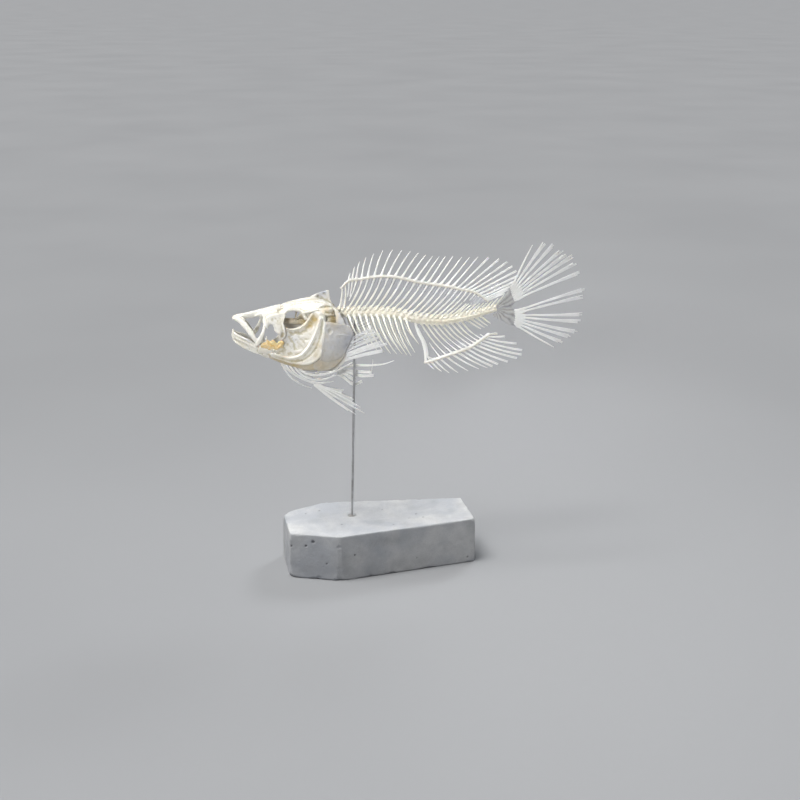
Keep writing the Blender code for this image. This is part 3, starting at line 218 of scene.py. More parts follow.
OPERCLE_FRONT = [(-36.2, -15.6, 175.2), (-37.6, -16.2, 167), (-39.4, -16.2, 158), (-40.6, -15.6, 150.4)]
OPERCLE_BACK = [(-21.4, -13.9, 172.6), (-18.6, -14.2, 166.4), (-23.1, -14.8, 157.6), (-31.8, -14.8, 149)]
SUBOPERCLE_TOP = [(-41.2, -15, 149.4), (-36, -15.2, 148.8), (-31.6, -14.8, 148.3), (-24, -14.9, 155.8)]
SUBOPERCLE_LOW = [(-42, -13.6, 142.2), (-36.8, -13.4, 142), (-28.4, -13.6, 145.4), (-23.2, -14.2, 153)]
INTEROPERCLE_TOP = [(-70.2, -11.2, 151.2), (-60, -12.6, 149.1), (-52, -14, 149.4), (-42, -15, 151.4)]
INTEROPERCLE_LOW = [(-69.4, -11, 149.4), (-57, -12, 146.2), (-49, -12.6, 143.2), (-42.8, -13.4, 142.4)]
# Outlines (x, z) of the head's plates, whose rims slip under one another
CHEEK_OUTLINE = [
    (-71, 156.2), (-68.4, 158.4), (-65.2, 160.2), (-63.7, 162.8), (-61.9, 166.8), (-62.1, 170), (-61.2, 171.7),
    (-58.9, 171), (-55, 171.1), (-51.1, 172.9), (-48.4, 175.7), (-46.5, 178.6), (-44.5, 181), (-41.2, 182),
    (-37, 180.1), (-35.5, 175.8), (-36.4, 169.4), (-38.6, 162.3), (-42, 155.7), (-46.6, 151.5), (-53.1, 149.5),
    (-60.8, 151.6), (-69, 153.6)
]
CHEEK_INNER = [
    (-62, -10.2, 171.5), (-44.5, -12.3, 181), (-41, -12.7, 182), (-37, -13, 180), (-36, -13.9, 170),
    (-42, -14.2, 156), (-53, -13, 150), (-61, -11.9, 151.5), (-69, -11, 154)
]
PREOPERCLE_OUTLINE = [
    (-40.6, 178), (-37.2, 177.8), (-35.7, 171), (-36, 163), (-37.6, 156), (-41.6, 150.2), (-48.2, 146.9),
    (-57.4, 147.7), (-65.1, 150.3), (-71.4, 152.9), (-71.8, 155.9), (-66.3, 154.8), (-60.5, 152.9), (-54.4, 154),
    (-50, 157.8), (-46.2, 163.7), (-43, 170.7)
]
OPERCLE_OUTLINE = [
    (-36.4, 175.2), (-31.3, 174.6), (-26.1, 173.4), (-22.1, 172.1), (-19, 168.9), (-18.1, 165.5), (-19.6, 161.5),
    (-21.7, 157.2), (-23.7, 153.6), (-26.6, 150.6), (-30.6, 148.6), (-35, 148.2), (-39.6, 149.4), (-40.6, 152.5),
    (-39.8, 157.9), (-38.4, 164.6), (-37.3, 170.5)
]
OPERCLE_BULGE = [(-30, -16.7, 162), (-29.5, -16.2, 169), (-33, -16.6, 155), (-24, -15.8, 161)]
SUBOPERCLE_OUTLINE = [
    (-38.8, 152.6), (-32.9, 151.2), (-27, 152.6), (-23.4, 154.4), (-24.2, 150.4), (-28.3, 145.6), (-33, 142.5),
    (-38.3, 141.8), (-42.6, 142.6), (-45.2, 145.6), (-44.6, 149.2), (-42.4, 151.6)
]
SUBOPERCLE_INNER = [(-38.8, -14.3, 152.6), (-32.9, -14.4, 151.5), (-27, -14.3, 152.8), (-44.5, -13.6, 149)]
INTEROPERCLE_OUTLINE = [
    (-72.6, 154.7), (-66.2, 153), (-58.4, 150.6), (-51.2, 150), (-45.9, 150.4), (-42.6, 148.5), (-42.8, 144),
    (-45.4, 142.6), (-50, 142.8), (-55.2, 144.6), (-63.7, 147.6), (-70.1, 150.5), (-73.2, 152.3)
]
INTEROPERCLE_INNER = [(-70, -10.9, 154), (-60, -11.6, 151), (-52, -12.8, 150), (-43, -14, 150)]
LACHRYMAL_OUTLINE = [
    (-74, 178.6), (-71.6, 180), (-67.6, 180.8), (-63.4, 181.2), (-61.2, 179.8), (-62.2, 177.4), (-62.9, 174.7),
    (-62, 171.2), (-61.7, 167.6), (-63, 164.8), (-65.2, 164), (-66.5, 165.5), (-66.4, 167.3), (-68.9, 169.8),
    (-69.4, 171.9), (-70.4, 173.9), (-72.2, 173.6), (-73.4, 171.4), (-74.5, 172.6), (-74.6, 176)
]
CORACOID_OUTLINE = [
    (-29.8, 156.2), (-24.8, 157.3), (-22.3, 152.8), (-23, 147.5), (-26.5, 142.9), (-31.9, 140.5), (-34.8, 142.9),
    (-32.6, 149.9)
]
CORACOID_WALL = [(-29.8, -12.2, 156.2), (-24.8, -12.2, 157), (-23, -12, 148), (-32, -9.8, 141), (-34, -10.2, 146)]
CLEITHRUM = [
    (-29.4, -8.8, 182.2), (-26.4, -10.8, 177.6), (-24.2, -11.8, 171), (-26.4, -12, 163), (-31.4, -11.6, 156),
    (-34.6, -10.6, 149.6), (-38.4, -7, 144), (-43, -2.4, 140.8)
]
SUPRACLEITHRUM = [
    (-29.8, -7.4, 182.6), (-28.2, -9.4, 180.8), (-27.2, -10.8, 177.6), (-26.9, -12, 173), (-27.3, -12.4, 167.4)
]
TISSUE_OUTLINE = [
    (-78.6, 160), (-77.6, 161.9), (-75.6, 162.9), (-73.9, 164.4), (-72.2, 163.7), (-70.6, 164.3), (-69, 163.2),
    (-67.6, 162), (-66.4, 163.1), (-64.8, 163.6), (-63.2, 162.2), (-64, 160.2), (-63.6, 158.8), (-66.2, 158.6),
    (-68, 157.6), (-70.6, 158.3), (-73, 157.8), (-75.4, 158.9)
]
TISSUE_WALL = [
    (-77.6, -11.3, 162.2), (-73.4, -11.9, 164.2), (-69.6, -12.1, 163.4), (-64, -12.4, 162), (-77.2, -12, 160.4),
    (-73.6, -12.2, 159.8), (-70, -12.5, 159), (-64.2, -12.6, 159.6)
]
HYOID_BAR = [(-68.5, -2.6, 152.6), (-62, -6, 150.4), (-53, -8.6, 149.4)]
BRANCHIOSTEGALS = [
    [(-63.6, -8.6, 144.4), (-60.1, -9, 138.9), (-53.6, -9, 133.1), (-45.2, -9, 129)],
    [(-60.6, -8.4, 143.4), (-56.4, -8.4, 138.8), (-50.4, -8, 134.9), (-43.3, -7.6, 131.3)],
    [(-57.8, -8.8, 142.6), (-51.8, -8.6, 137.4), (-41.5, -8.6, 132.3), (-30.5, -8.2, 132.6)],
    [(-55.2, -9.6, 142.9), (-48.8, -10.4, 137.3), (-40, -10.8, 134.9), (-28, -10.5, 137.9)],
    [(-53, -10.2, 142.9), (-44.6, -11.6, 138.9), (-32.5, -12, 140), (-18.4, -11, 145.5)],
]
PECTORAL_RAYS = 12
PECTORAL_BASE = [(-27, -11.4, 158), (-27.8, -11.4, 151.6), (-29.2, -11.2, 145.4)]
PECTORAL_ANGLE = [(0, 31), (4, 25), (8, 19), (11, 12.5)]
PECTORAL_LENGTH = [(0, 24), (3, 29), (8, 32.5), (9, 34.4), (11, 31)]
PECTORAL_BREADTH = [(0, 0.6), (6, 0.8), (9, 1.35), (11, 1.5)]
PECTORAL_SPLAY = -3.6
PELVIC_GIRDLES = [
    ("left", [(-40.4, -2.6, 138.4), (-41.8, -3.2, 135.4), (-43.6, -4.2, 132.4)], [2.2, 2.4, 2.4], (1, 0, 0)),
    ("right", [(-39, 2.8, 139), (-32, 4, 137.6), (-25.6, 5, 136.4)], [2.2, 3, 2.4], (0, 0, 1))
]
LEFT_PELVIC_OUTLINE = [
    (-43.4, 130.4), (-40.7, 131.2), (-35.3, 127.9), (-29.6, 126.2), (-23.3, 125.4), (-24.9, 123.4), (-19.2, 120.4),
    (-16.6, 118.5), (-18, 117.1), (-13.4, 113.6), (-17.6, 114.2), (-11.6, 109.6), (-14.6, 110.6), (-21.2, 115.1),
    (-26.9, 119), (-32.5, 122.1), (-38.1, 124.9)
]
# The spine and the soft rays, each with its breadth
LEFT_PELVIC_RAYS = [
    ([(-42.8, 129.6), (-35.3, 123.5), (-26.9, 116.5), (-19.4, 110.6), (-15.6, 107.7)], 1.6),
    ([(-42.6, 129.6), (-37.2, 124.2), (-28.8, 117.2), (-20.8, 110.6)], 1.2),
    ([(-42.2, 130.2), (-32.5, 123.3), (-21.2, 115.8), (-13.6, 110.7), (-9.6, 108.2)], 1.4),
    ([(-41.8, 130.4), (-30.6, 124.1), (-21.2, 118.6), (-15.5, 114.8), (-12.4, 112.6)], 1.2),
    ([(-41.6, 130.6), (-32.4, 126.2), (-24, 122.2), (-16.6, 118.3)], 1),
    ([(-41.4, 130.8), (-35.2, 127.8), (-28.7, 126.2), (-23.3, 125.3)], 1),
]
RIGHT_PELVIC_BASE = [(-24, 5, 137.3), (-25.6, 5, 133.2)]
RIGHT_PELVIC_RAYS = [
    [(-15, 6.4, 138.2), (-3, 6.4, 137.7), (7.2, 6.2, 138.3), (13.4, 6, 140.2)],
    [(-17, 6.2, 135), (-10, 6.2, 133.7), (-2.1, 6, 132.9)],
    [(-18, 6, 133.6), (-8.7, 6, 130.8), (-0.7, 6, 130.6)],
    [(-20, 5.6, 132.4), (-13.4, 5.6, 127.6)],
    [(-22, 5, 131.2), (-14.3, 5, 125.5), (-9, 5, 127.2)],
]
RIGHT_PELVIC_HAIR = [(-2.2, 6, 133.2), (-1.7, 6.3, 136.4), (-1.2, 6.6, 139), (-1.2, 6.3, 141.8)]

# Breadths and thicknesses along the bones, from their roots to their tips
SKIN = 0.16
ARCH_SPINE = ([1.6, 1.3, 1.2, 1.1, 1, 0.85, 0.5], [1, 0.8, 0.7, 0.65, 0.6, 0.55, 0.35])
RIB = ([1.9, 1.25, 1.05, 1, 0.95, 0.85, 0.7, 0.4], [1.2, 0.95, 0.85, 0.8, 0.7, 0.6, 0.5, 0.35])
DORSAL_BAR = [0.75, 1, 1.12, 1.12, 1.12, 1.12, 1.1, 1.05, 1, 0.7]
DORSAL_SPINE = ([2.9, 2, 1.45, 1.25, 1.15, 1.1, 1.1, 1.05, 1, 0.95, 0.85, 0.75, 0.6, 0.34],
                [2, 1.2, 0.9, 0.8, 0.75, 0.7, 0.6, 0.45, 0.28])
DORSAL_STRUT = ([1.5, 1.1, 1, 0.95, 0.9, 0.8, 0.55], [1.1, 0.75, 0.6, 0.55, 0.5, 0.45, 0.35])
ANAL_BAR = [1, 1.15, 1.25, 1.25, 1.2, 1.1, 0.9]
ANAL_SPINE = ([2.2, 1.6, 1.3, 1.15, 1.05, 0.95, 0.8, 0.6, 0.34], [1.8, 1.1, 0.9, 0.8, 0.7, 0.65, 0.55, 0.45, 0.28])
GREAT_STRUT = ([1.9, 2.3, 2.7, 2.6, 2.4, 2, 1.4], [1.1, 1, 0.9, 0.9, 0.8, 0.7])
CAP_STEPS = (0.4, 0.9, 1.3)  # where on its quarter turn each ring of a rounded end lies

# Pits of the base: centre in its own (x, y, z) and radius
BASE_PITS = [
    (-39.2, 16.8, 32, 0.9), (-49.1, 13.4, 32, 0.7), (4.5, 9.6, 32, 0.8), (26.1, -2.5, 32, 0.9), (7.1, -18.1, 32, 0.7),
    (29.7, -9.4, 32, 0.8), (19.8, -9.1, 32, 0.6), (-27.4, -10.3, 32, 0.8), (-49.4, -24.6, 27.2, 1.2),
    (-54, -22.7, 23.9, 0.9), (-63.4, -18.9, 23.1, 0.8), (-22, -30.2, 17.5, 0.8), (59.1, -20.2, 4.1, 0.9),
    (-41, -28.6, 12, 0.6), (22, -25.4, 9, 0.5), (-58, 21.4, 20, 1), (-10, 29.2, 14, 1), (25, 25, 22, 0.9),
    (50, 21.5, 10, 1.1), (64.4, 4, 18, 0.9), (64.4, -9, 10, 0.8), (-64.4, 6, 12, 1), (-64.4, -8, 21, 0.8),
    (-64.4, 12, 25, 0.7)
]
# Places along its edges where more has broken away: centre, reach and extra rounding
CHIPS = [
    (-64.2, 18.6, 32, 5, 3.4), (-29.5, 30.6, 32, 2.4, 1.6), (-64.2, -18.6, 0, 4, 2.2), (-32.5, -31.5, 0, 3.5, 1.6),
    (64.2, -19.6, 32, 3, 1.2), (30, -25, 0, 5, 1.4), (5, -28, 0, 3, 1.2), (-48, -25, 0, 4, 1.4)
]
# Radius and height of the glue's rings
GLUE_PROFILE = [
    (0.3, 27.4), (2.4, 27.4), (2.8, 27.6), (2.85, 28.6), (2.85, 30.4), (2.7, 31.2), (2.3, 31.5), (1.7, 31.65),
    (1.2, 31.85), (0.95, 32.2), (0.85, 32.7)
]

# Ridges and grooves on the head's plates: points, width and height
LACHRYMAL_STROKES = [
    ([(-60.8, 180.6), (-62.9, 175.4), (-62, 169.6)], 0.9, 0.55), ([(-73.6, 180.4), (-73.6, 174.4)], 0.9, 0.3),
    ([(-72, 176), (-68, 173.2), (-65.4, 167.4)], 1.3, 0.5), ([(-68.2, 181.2), (-68, 181)], 0.8, -0.7),
    ([(-64.2, 166.6), (-64, 167.4)], 1.6, -0.7)
]
CHEEK_STROKES = [
    ([(-61.6, 171), (-58.4, 170.4), (-54.6, 170.5), (-50.6, 172.3), (-47.8, 175.4), (-45.8, 178.6)], 0.8, 0.55),
    ([(-43.4, 180.6), (-44, 175), (-47.6, 170.4), (-53, 167.6), (-58, 167)], 1.3, -0.5),
    ([(-39.6, 180), (-38.8, 172), (-40.4, 163), (-43.6, 156.4)], 1.5, 0.7),
    ([(-63, 164), (-61.4, 158.6), (-57, 155.6), (-51.6, 155.8)], 1, 0.35),
    ([(-60, 165.4), (-57, 161), (-56, 157.4)], 0.9, -0.4), ([(-55.6, 166), (-52.6, 161.6), (-49.8, 159.4)], 0.8, 0.3),
    ([(-70, 156), (-66.4, 157.2), (-63.6, 159.4)], 1.2, 0.5)
]
GUARD_CANAL = [
    (-70.6, 153.4), (-64.6, 151.6), (-58, 149.8), (-50.8, 150.6), (-45.4, 154.8), (-41.4, 161.6), (-39, 169.4),
    (-37.8, 176.6)
]
GUARD_STROKES = [
    ([(-71, 155), (-66, 153.6), (-60.2, 152), (-53.9, 153.2), (-49, 157.6), (-45.2, 164.2), (-42, 171.2),
      (-39.8, 177.4)], 1.25, 0.85),
    (GUARD_CANAL, 0.8, -0.3), ([(-69, 151.4), (-60, 148.4), (-50, 147.8), (-42.4, 151.4), (-38.4, 158)], 0.8, 0.25)
]
OPERCLE_STROKES = [
    ([(-36.4, 174.6), (-37.4, 168), (-39, 158), (-39.8, 150.6)], 0.8, 0.35),
    ([(-36, 173.6), (-31, 172.9), (-26.8, 171.9)], 1.1, 0.22),
    ([(-29.4, 166.4), (-25, 166.2), (-21, 165), (-18.8, 164.2)], 0.45, 0.28)
]
INTEROPERCLE_STROKES = [([(-71, 151.6), (-62, 148.8), (-52, 145.6)], 0.8, 0.25)]

# Patches of colour on the bones of both sides: centre, radius and strength
PATCHES = {
    "stain": [
        ((-43.4, 12, 177.2), 2.8, 1.2), ((-46.6, 12, 172.8), 2.8, 0.9), ((-30.6, 9, 175), 3.2, 0.8),
        ((-35, 9, 181.6), 2.8, 0.8), ((-30.4, 8, 181.2), 1.6, 0.5), ((-41.6, 15, 160), 2.6, 0.6),
        ((-42.8, 15, 153.8), 2.8, 0.5), ((-58, 0, 173.4), 7, 0.62), ((-49, 0, 173), 5, 0.75),
        ((-57, 12.5, 148.6), 6, 0.4), ((-66, 12, 151), 4, 0.35), ((-40, 13.5, 145.5), 6, 0.35),
        ((-88, 4.5, 163.5), 4, 0.2), ((-66.6, 12, 160.6), 3.4, 0.4), ((-30, 12, 147.4), 5, 0.45),
        ((-64.4, 12, 166.6), 1.8, 0.5), ((-36.4, 16, 166), 2.2, 0.25), ((-51.5, 12, 161.5), 2.4, 0.25),
        ((-59.5, 12, 160.5), 2.6, 0.22), ((-27.6, 10.4, 179.6), 2.6, 0.35), ((-30.8, 10.6, 174.6), 3.4, 0.75)
    ],
    "clear": [
        ((-35.6, 0, 190.6), 4.2, 1), ((-40, 3, 186), 3, 0.3), ((-47, 3, 184.6), 2.4, 0.2),
        ((-64, 12, 166.6), 2.4, 0.6), ((-57, 11, 164), 6, 0.3), ((-85.5, 6.5, 165), 4.5, 0.5),
        ((-21, 14.5, 164), 4, 0.75), ((-23, 14.5, 157), 3.5, 0.6), ((-30.5, 16.5, 161.5), 5.5, 0.35),
        ((-26.8, 12, 174), 4.5, 0.5)
    ],
    "dark": [
        ((-38.8, 0, 189.3), 0.9, 0.8), ((-34.4, 0, 191.4), 1, 0.5), ((-36.6, 0, 187.6), 1.6, 0.16),
        ((-41.5, 4, 187.4), 1.3, 0.14), ((-30, 9, 176), 1, 0.6), ((-28.6, 7, 181.6), 0.7, 0.5),
        ((-34.6, 15.6, 170.4), 0.9, 0.35), ((-32.2, 15.6, 168.6), 0.7, 0.3), ((-64.2, 12, 166.4), 1.2, 0.45),
        ((-68.2, 8, 178.8), 0.8, 0.35), ((-23.6, 14.5, 163.4), 1, 0.25), ((-22.6, 14.5, 159), 1.6, 0.3),
        ((-30.2, 10.4, 174.4), 1.6, 0.35)
    ]
}

# Camera, in millimetres, as the photograph was taken
CAMERA_PLACE = (-158.19, -820.30, 386.10)
CAMERA_AHEAD = (0.1970281, 0.93093708, -0.30746721)
CAMERA_UP = (0.06366363, 0.30080397, 0.95155868)
FLOOR_REACH = 90.0  # metres from the middle to each edge of the floor


# Curves and noise


def arr(values):
    return np.array(values, float)


def unit(vectors):
    return vectors / np.maximum(np.linalg.norm(vectors, axis=-1, keepdims=True), 1e-9)


def smooth(keys, x):
    """The value at x, or at each x, of a smooth curve through keys, which are (position, value) pairs."""
    places, values = arr([k[0] for k in keys]), arr([k[1] for k in keys])
    slopes = np.gradient(values, places, axis=0)
    x = np.asarray(x, float)
    i = np.clip(np.searchsorted(places, x) - 1, 0, len(places) - 2)
    step = places[i + 1] - places[i]
    t = np.clip((x - places[i]) / step, 0, 1)
    if values.ndim > 1:
        t, step = t[..., None], step[..., None]
    start = (1 + 2 * t) * (1 - t) ** 2 * values[i] + t * (1 - t) ** 2 * step * slopes[i]
    return start + t * t * (3 - 2 * t) * values[i + 1] + t * t * (t - 1) * step * slopes[i + 1]


def along(points, count):
    """count places, evenly spaced by length, on a smooth curve through points."""
    points = arr(points)
    reach = np.concatenate([[0], np.cumsum(np.linalg.norm(np.diff(points, axis=0), axis=1))])
    return smooth(list(zip(reach, points)), np.linspace(0, reach[-1], count))


def closed_curve(corners, count):
    """Points on a smooth loop through corners."""
    corners = arr(corners)
    spots = np.linspace(0, len(corners), count, endpoint=False)
    i = np.floor(spots).astype(int)
    t = (spots - i)[:, None]
    a, b, c, d = (corners[(i + k) % len(corners)] for k in (-1, 0, 1, 2))
    return b + 0.5 * t * (c - a + t * (2 * a - 5 * b + 4 * c - d + t * (3 * (b - c) + d - a)))


def mirrored(points, side):
    return arr(points) * (1, -side, 1)


def folded(points):
    """The points, with both sides of the fish laid on its right side."""
    return np.abs(points * (0, 1, 0)) + points * (1, 0, 1)


def upright(places):
    """The (x, z) places as points in the middle plane."""
    places = arr(places)
    return np.stack([places[..., 0], 0 * places[..., 0], places[..., 1]], -1)


def beside(path):
    """Directions square to a path, within the fish's middle plane."""
    return unit(np.cross(unit(np.gradient(path, axis=0)), (0, 1, 0)))


def spread(values, count):
    """count values, spread evenly along a list of values, or one value count times."""
    values = np.atleast_1d(values)
    return np.interp(np.linspace(0, len(values) - 1, count), range(len(values)), values)


def turns(sides):
    """The cosines and sines of evenly spaced directions round a circle."""
    turn = np.linspace(0, 2 * np.pi, sides, endpoint=False)
    return np.cos(turn), np.sin(turn)


def noise(points, size, seed=0):
    """Smooth noise between -1 and 1 whose features are about size millimetres wide."""
    place = np.asarray(points, float) / size + 31.7 * seed
    cell = np.floor(place).astype(np.int64)
    t = place - cell
    t = t * t * (3 - 2 * t)
    total = np.zeros(place.shape[:-1])
    for corner in np.ndindex(2, 2, 2):
        c = cell + corner
        mixed = ((c[..., 0] * 73856093) ^ (c[..., 1] * 19349663) ^ (c[..., 2] * 83492791)) & 0xFFFFFFFF
        mixed = (mixed * 2654435761) & 0xFFFFFFFF
        mixed ^= mixed >> 15
        mixed = (mixed * 2246822519) & 0xFFFFFFFF
        mixed ^= mixed >> 13
        share = np.prod(np.where(arr(corner) == 1, t, 1 - t), axis=-1)
        total += (mixed / 0x7FFFFFFF - 1) * share
    return total


def bump(x, centre, width):
    return np.exp(-(((x - centre) / width) ** 2))


def rippled(grid, height, size, seed):
    """The grid with its points pushed sideways by noise."""
    return grid + (0, 1, 0) * (height * noise(grid, size, seed))[..., None]


def pores(points, size=0.9):
    return np.clip(1.8 * noise(points, size, 5) - 0.55, 0, 1)


def rough(places, side, seed, height):
    """Unevenness of a plate, different on its two sides."""
    points = upright(places)
    return height * noise(points + (0, 3 * side, 0), 1.6, seed) + 0.4 * height * noise(points, 0.7, seed + 1)


def nearest(places, others):
    """How far each place is from the nearest of the others."""
    return np.sqrt(((places[:, None] - others) ** 2).sum(-1)).min(axis=1)


def strokes(places, *rows):
    """The height of smooth ridges, each given by (x, z) points, its width and its height. Grooves have negative
    heights."""
    return sum(height * bump(nearest(places, along(points, 60)), 0, width) for points, width, height in rows)


def wall(*edges):
    """A smooth surface through the edges' points: tells its distance from the middle plane at places (x, z)."""
    known = np.concatenate([arr(edge) for edge in edges])
    flat = known[:, [0, 2]]

    def pull(places):
        gap = ((places[:, None] - flat) ** 2).sum(-1)
        return gap * np.log(gap + 1e-6)

    count = len(flat)
    sums = np.zeros((count + 3, count + 3))
    sums[:count, :count] = pull(flat) + 40 * np.eye(count)
    sums[:count, count:] = np.column_stack([np.ones(count), flat])
    sums[count:, :count] = sums[:count, count:].T
    weights = np.linalg.solve(sums, np.concatenate([np.abs(known[:, 1]), np.zeros(3)]))

    def depth(places):
        return pull(places) @ weights[:count] + np.column_stack([np.ones(len(places)), places]) @ weights[count:]

    return depth


# Shells


def triangles(quads, tris):
    return np.concatenate([quads[:, :3], quads[:, [0, 2, 3]], tris])


class Shape:
    """Closed shells that become one mesh."""

    def __init__(self):
        self.points, self.quads, self.tris = np.zeros((0, 3)), np.zeros((0, 4), int), np.zeros((0, 3), int)

    def add(self, points, quads, tris=()):
        points = arr(points).reshape(-1, 3)
        quads, tris = np.array(quads, int).reshape(-1, 4), np.array(tris, int).reshape(-1, 3)
        if np.linalg.det(points[triangles(quads, tris)] - points.mean(0)).sum() < 0:
            quads, tris = quads[:, ::-1], tris[:, ::-1]
        count = len(self.points)
        self.points = np.concatenate([self.points, points])
        self.quads = np.concatenate([self.quads, quads + count])
        self.tris = np.concatenate([self.tris, tris + count])

    def rings(self, rings, poles):
        """A shell round rings, a (rows, sides, 3) array, closed by two poles."""
        rows, sides = rings.shape[:2]
        at = np.arange(rows * sides).reshape(rows, sides)
        after = np.roll(at, -1, axis=1)
        quads = np.stack([at[:-1], after[:-1], after[1:], at[1:]], -1)
        ends = [np.stack([after[0], at[0], np.full(sides, rows * sides)], -1),
                np.stack([at[-1], after[-1], np.full(sides, rows * sides + 1)], -1)]
        self.add(np.concatenate([rings.reshape(-1, 3), poles]), quads, np.concatenate(ends))

    def mesh(self, name, scale=1.0, shift=(0, 0, 0)):
        made = bpy.data.meshes.new(name)
        corners = np.concatenate([self.quads.ravel(), self.tris.ravel()])
        starts = np.concatenate([4 * np.arange(len(self.quads)), self.quads.size + 3 * np.arange(len(self.tris))])
        made.vertices.add(len(self.points))
        made.loops.add(len(corners))
        made.polygons.add(len(starts))
        made.vertices.foreach_set("co", ((self.points + shift) * scale).astype(np.float32).ravel())
        made.polygons.foreach_set("loop_start", starts.astype(np.int32))
        made.polygons.foreach_set("vertices", corners.astype(np.int32))
        made.update(calc_edges=True)
        made.shade_smooth()
        return made


def tube(shape, path, wide, thick, towards=None, sides=10, grain=0.0, ends=(1, 1)):
    """A rounded bone along path. wide is measured towards the given direction, or within the fish's middle
    plane without one, and thick across it. Each end is rounded by its share of the thickness."""
    path = arr(path)
    count = len(path)
    wide, thick = spread(wide, count), spread(thick, count)
    ahead = unit(np.gradient(path, axis=0))
    steps = arr(CAP_STEPS)
    first, last = (ends[k] * min(wide[-k], thick[-k]) / 2 for k in (0, 1))
    path = np.concatenate([
        path[0] - ahead[0] * (first * np.sin(steps[::-1]))[:, None], path,
        path[-1] + ahead[-1] * (last * np.sin(steps))[:, None]
    ])
    shrink = np.concatenate([np.cos(steps[::-1]), np.ones(count), np.cos(steps)])
    rows = np.clip(np.arange(-len(steps), count + len(steps)), 0, count - 1)
    ahead, wide, thick = ahead[rows], wide[rows] * shrink, thick[rows] * shrink
    if towards is None:
        broad = unit(np.cross(ahead, (0, 1, 0)))
    else:
        broad = unit(arr(towards) - ahead * (ahead @ arr(towards))[:, None])
    cosines, sines = turns(sides)
    around = broad[:, None] * cosines[:, None] * wide[:, None, None] / 2
    around = around + np.cross(ahead, broad)[:, None] * sines[:, None] * thick[:, None, None] / 2
    rings = path[:, None] + around
    if grain:
        rings = rings + around * (grain * noise(rings, 1.3, 2))[..., None]
    shape.rings(rings, path[[0, -1]] + ahead[[0, -1]] * ((-first * 0.03,), (last * 0.03,)))


def bone(shape, points, wide, thick, towards=None, count=16, sides=10, grain=0.06):
    """A tube along a smooth curve through points."""
    tube(shape, along(points, count), wide, thick, towards, sides, grain)


def bones(shape, side, *rows):
    """Several bones on one side of the fish: each row holds what bone() takes, with points for the left."""
    for points, *rest in rows:
        bone(shape, mirrored(points, side), *rest)


def ball(shape, centre, radii, grain=0.05, sides=18):
    centre, end = arr(centre), arr((radii[0], 0, 0))
    turn = np.linspace(-1.45, 1.45, 11)
    cosines, sines = turns(sides)
    circle = np.stack([0 * cosines, cosines * radii[1], sines * radii[2]], -1)
    rings = (centre + np.outer(np.sin(turn), end))[:, None] + circle * np.cos(turn)[:, None, None]
    rings = rings + (rings - centre) * (grain * noise(rings, 1.3, 2))[..., None]
    shape.rings(rings, arr([centre - end, centre + end]))


def rim_distance(grid):
    """How far each point of a grid is from its nearest edge."""
    near = []
    for axis in (0, 1):
        reach = np.cumsum(np.linalg.norm(np.diff(grid, axis=axis), axis=-1), axis=axis)
        total = np.take(reach, [-1], axis=axis)
        start = np.concatenate([0 * total, reach], axis=axis)
        near.append(np.minimum(start, total - start))
    return np.minimum(*near)


def sheet(shape, grid, thick, side=-1, edge=1.0, outer=0.0, inner=0.0):
    """A thin plate about grid, a (rows, columns, 3) array. It thins out towards its rim. outer and inner are
    added to its outward and its inward face."""
    normal = unit(np.cross(np.gradient(grid, axis=0), np.gradient(grid, axis=1)))
    if normal[..., 1].mean() * side < 0:
        normal = -normal
    closeness = 1 - np.clip(rim_distance(grid) / edge, 0, 1)
    fade = 0.2 + 0.8 * np.sqrt(1 - closeness**2)
    faces = [grid + normal * (way * (thick / 2 + more) * fade)[..., None] for way, more in ((1, outer), (-1, inner))]
    rows, columns = grid.shape[:2]
    at = np.arange(rows * columns).reshape(rows, columns)
    under = at + rows * columns
    rim = np.concatenate([at[0, :-1], at[:-1, -1], at[-1, :0:-1], at[:0:-1, 0]])
    after = np.roll(rim, -1)
    quads = [np.stack([at[:-1, :-1], at[1:, :-1], at[1:, 1:], at[:-1, 1:]], -1).reshape(-1, 4),
             np.stack([under[:-1, :-1], under[:-1, 1:], under[1:, 1:], under[1:, :-1]], -1).reshape(-1, 4),
             np.stack([rim, after, after + rows * columns, rim + rows * columns], -1)]
    shape.add(np.concatenate([face.reshape(-1, 3) for face in faces]), np.concatenate(quads))


def inside(places, loop):
    after = np.roll(loop, -1, axis=0)
    x, z = places[:, :1], places[:, 1:]
    crossed = (loop[:, 1] > z) != (after[:, 1] > z)
    rise = np.where(after[:, 1] == loop[:, 1], 1e-9, after[:, 1] - loop[:, 1])
    left = x < loop[:, 0] + (z - loop[:, 1]) * (after[:, 0] - loop[:, 0]) / rise
    return (crossed & left).sum(axis=1) % 2 == 1


def boundary(tris):
    """The edges that belong to one triangle only, in its direction."""
    edges = np.concatenate([tris[:, [0, 1]], tris[:, [1, 2]], tris[:, [2, 0]]]).tolist()
    have = set(map(tuple, edges))
    return np.array([(a, b) for a, b in edges if (b, a) not in have])


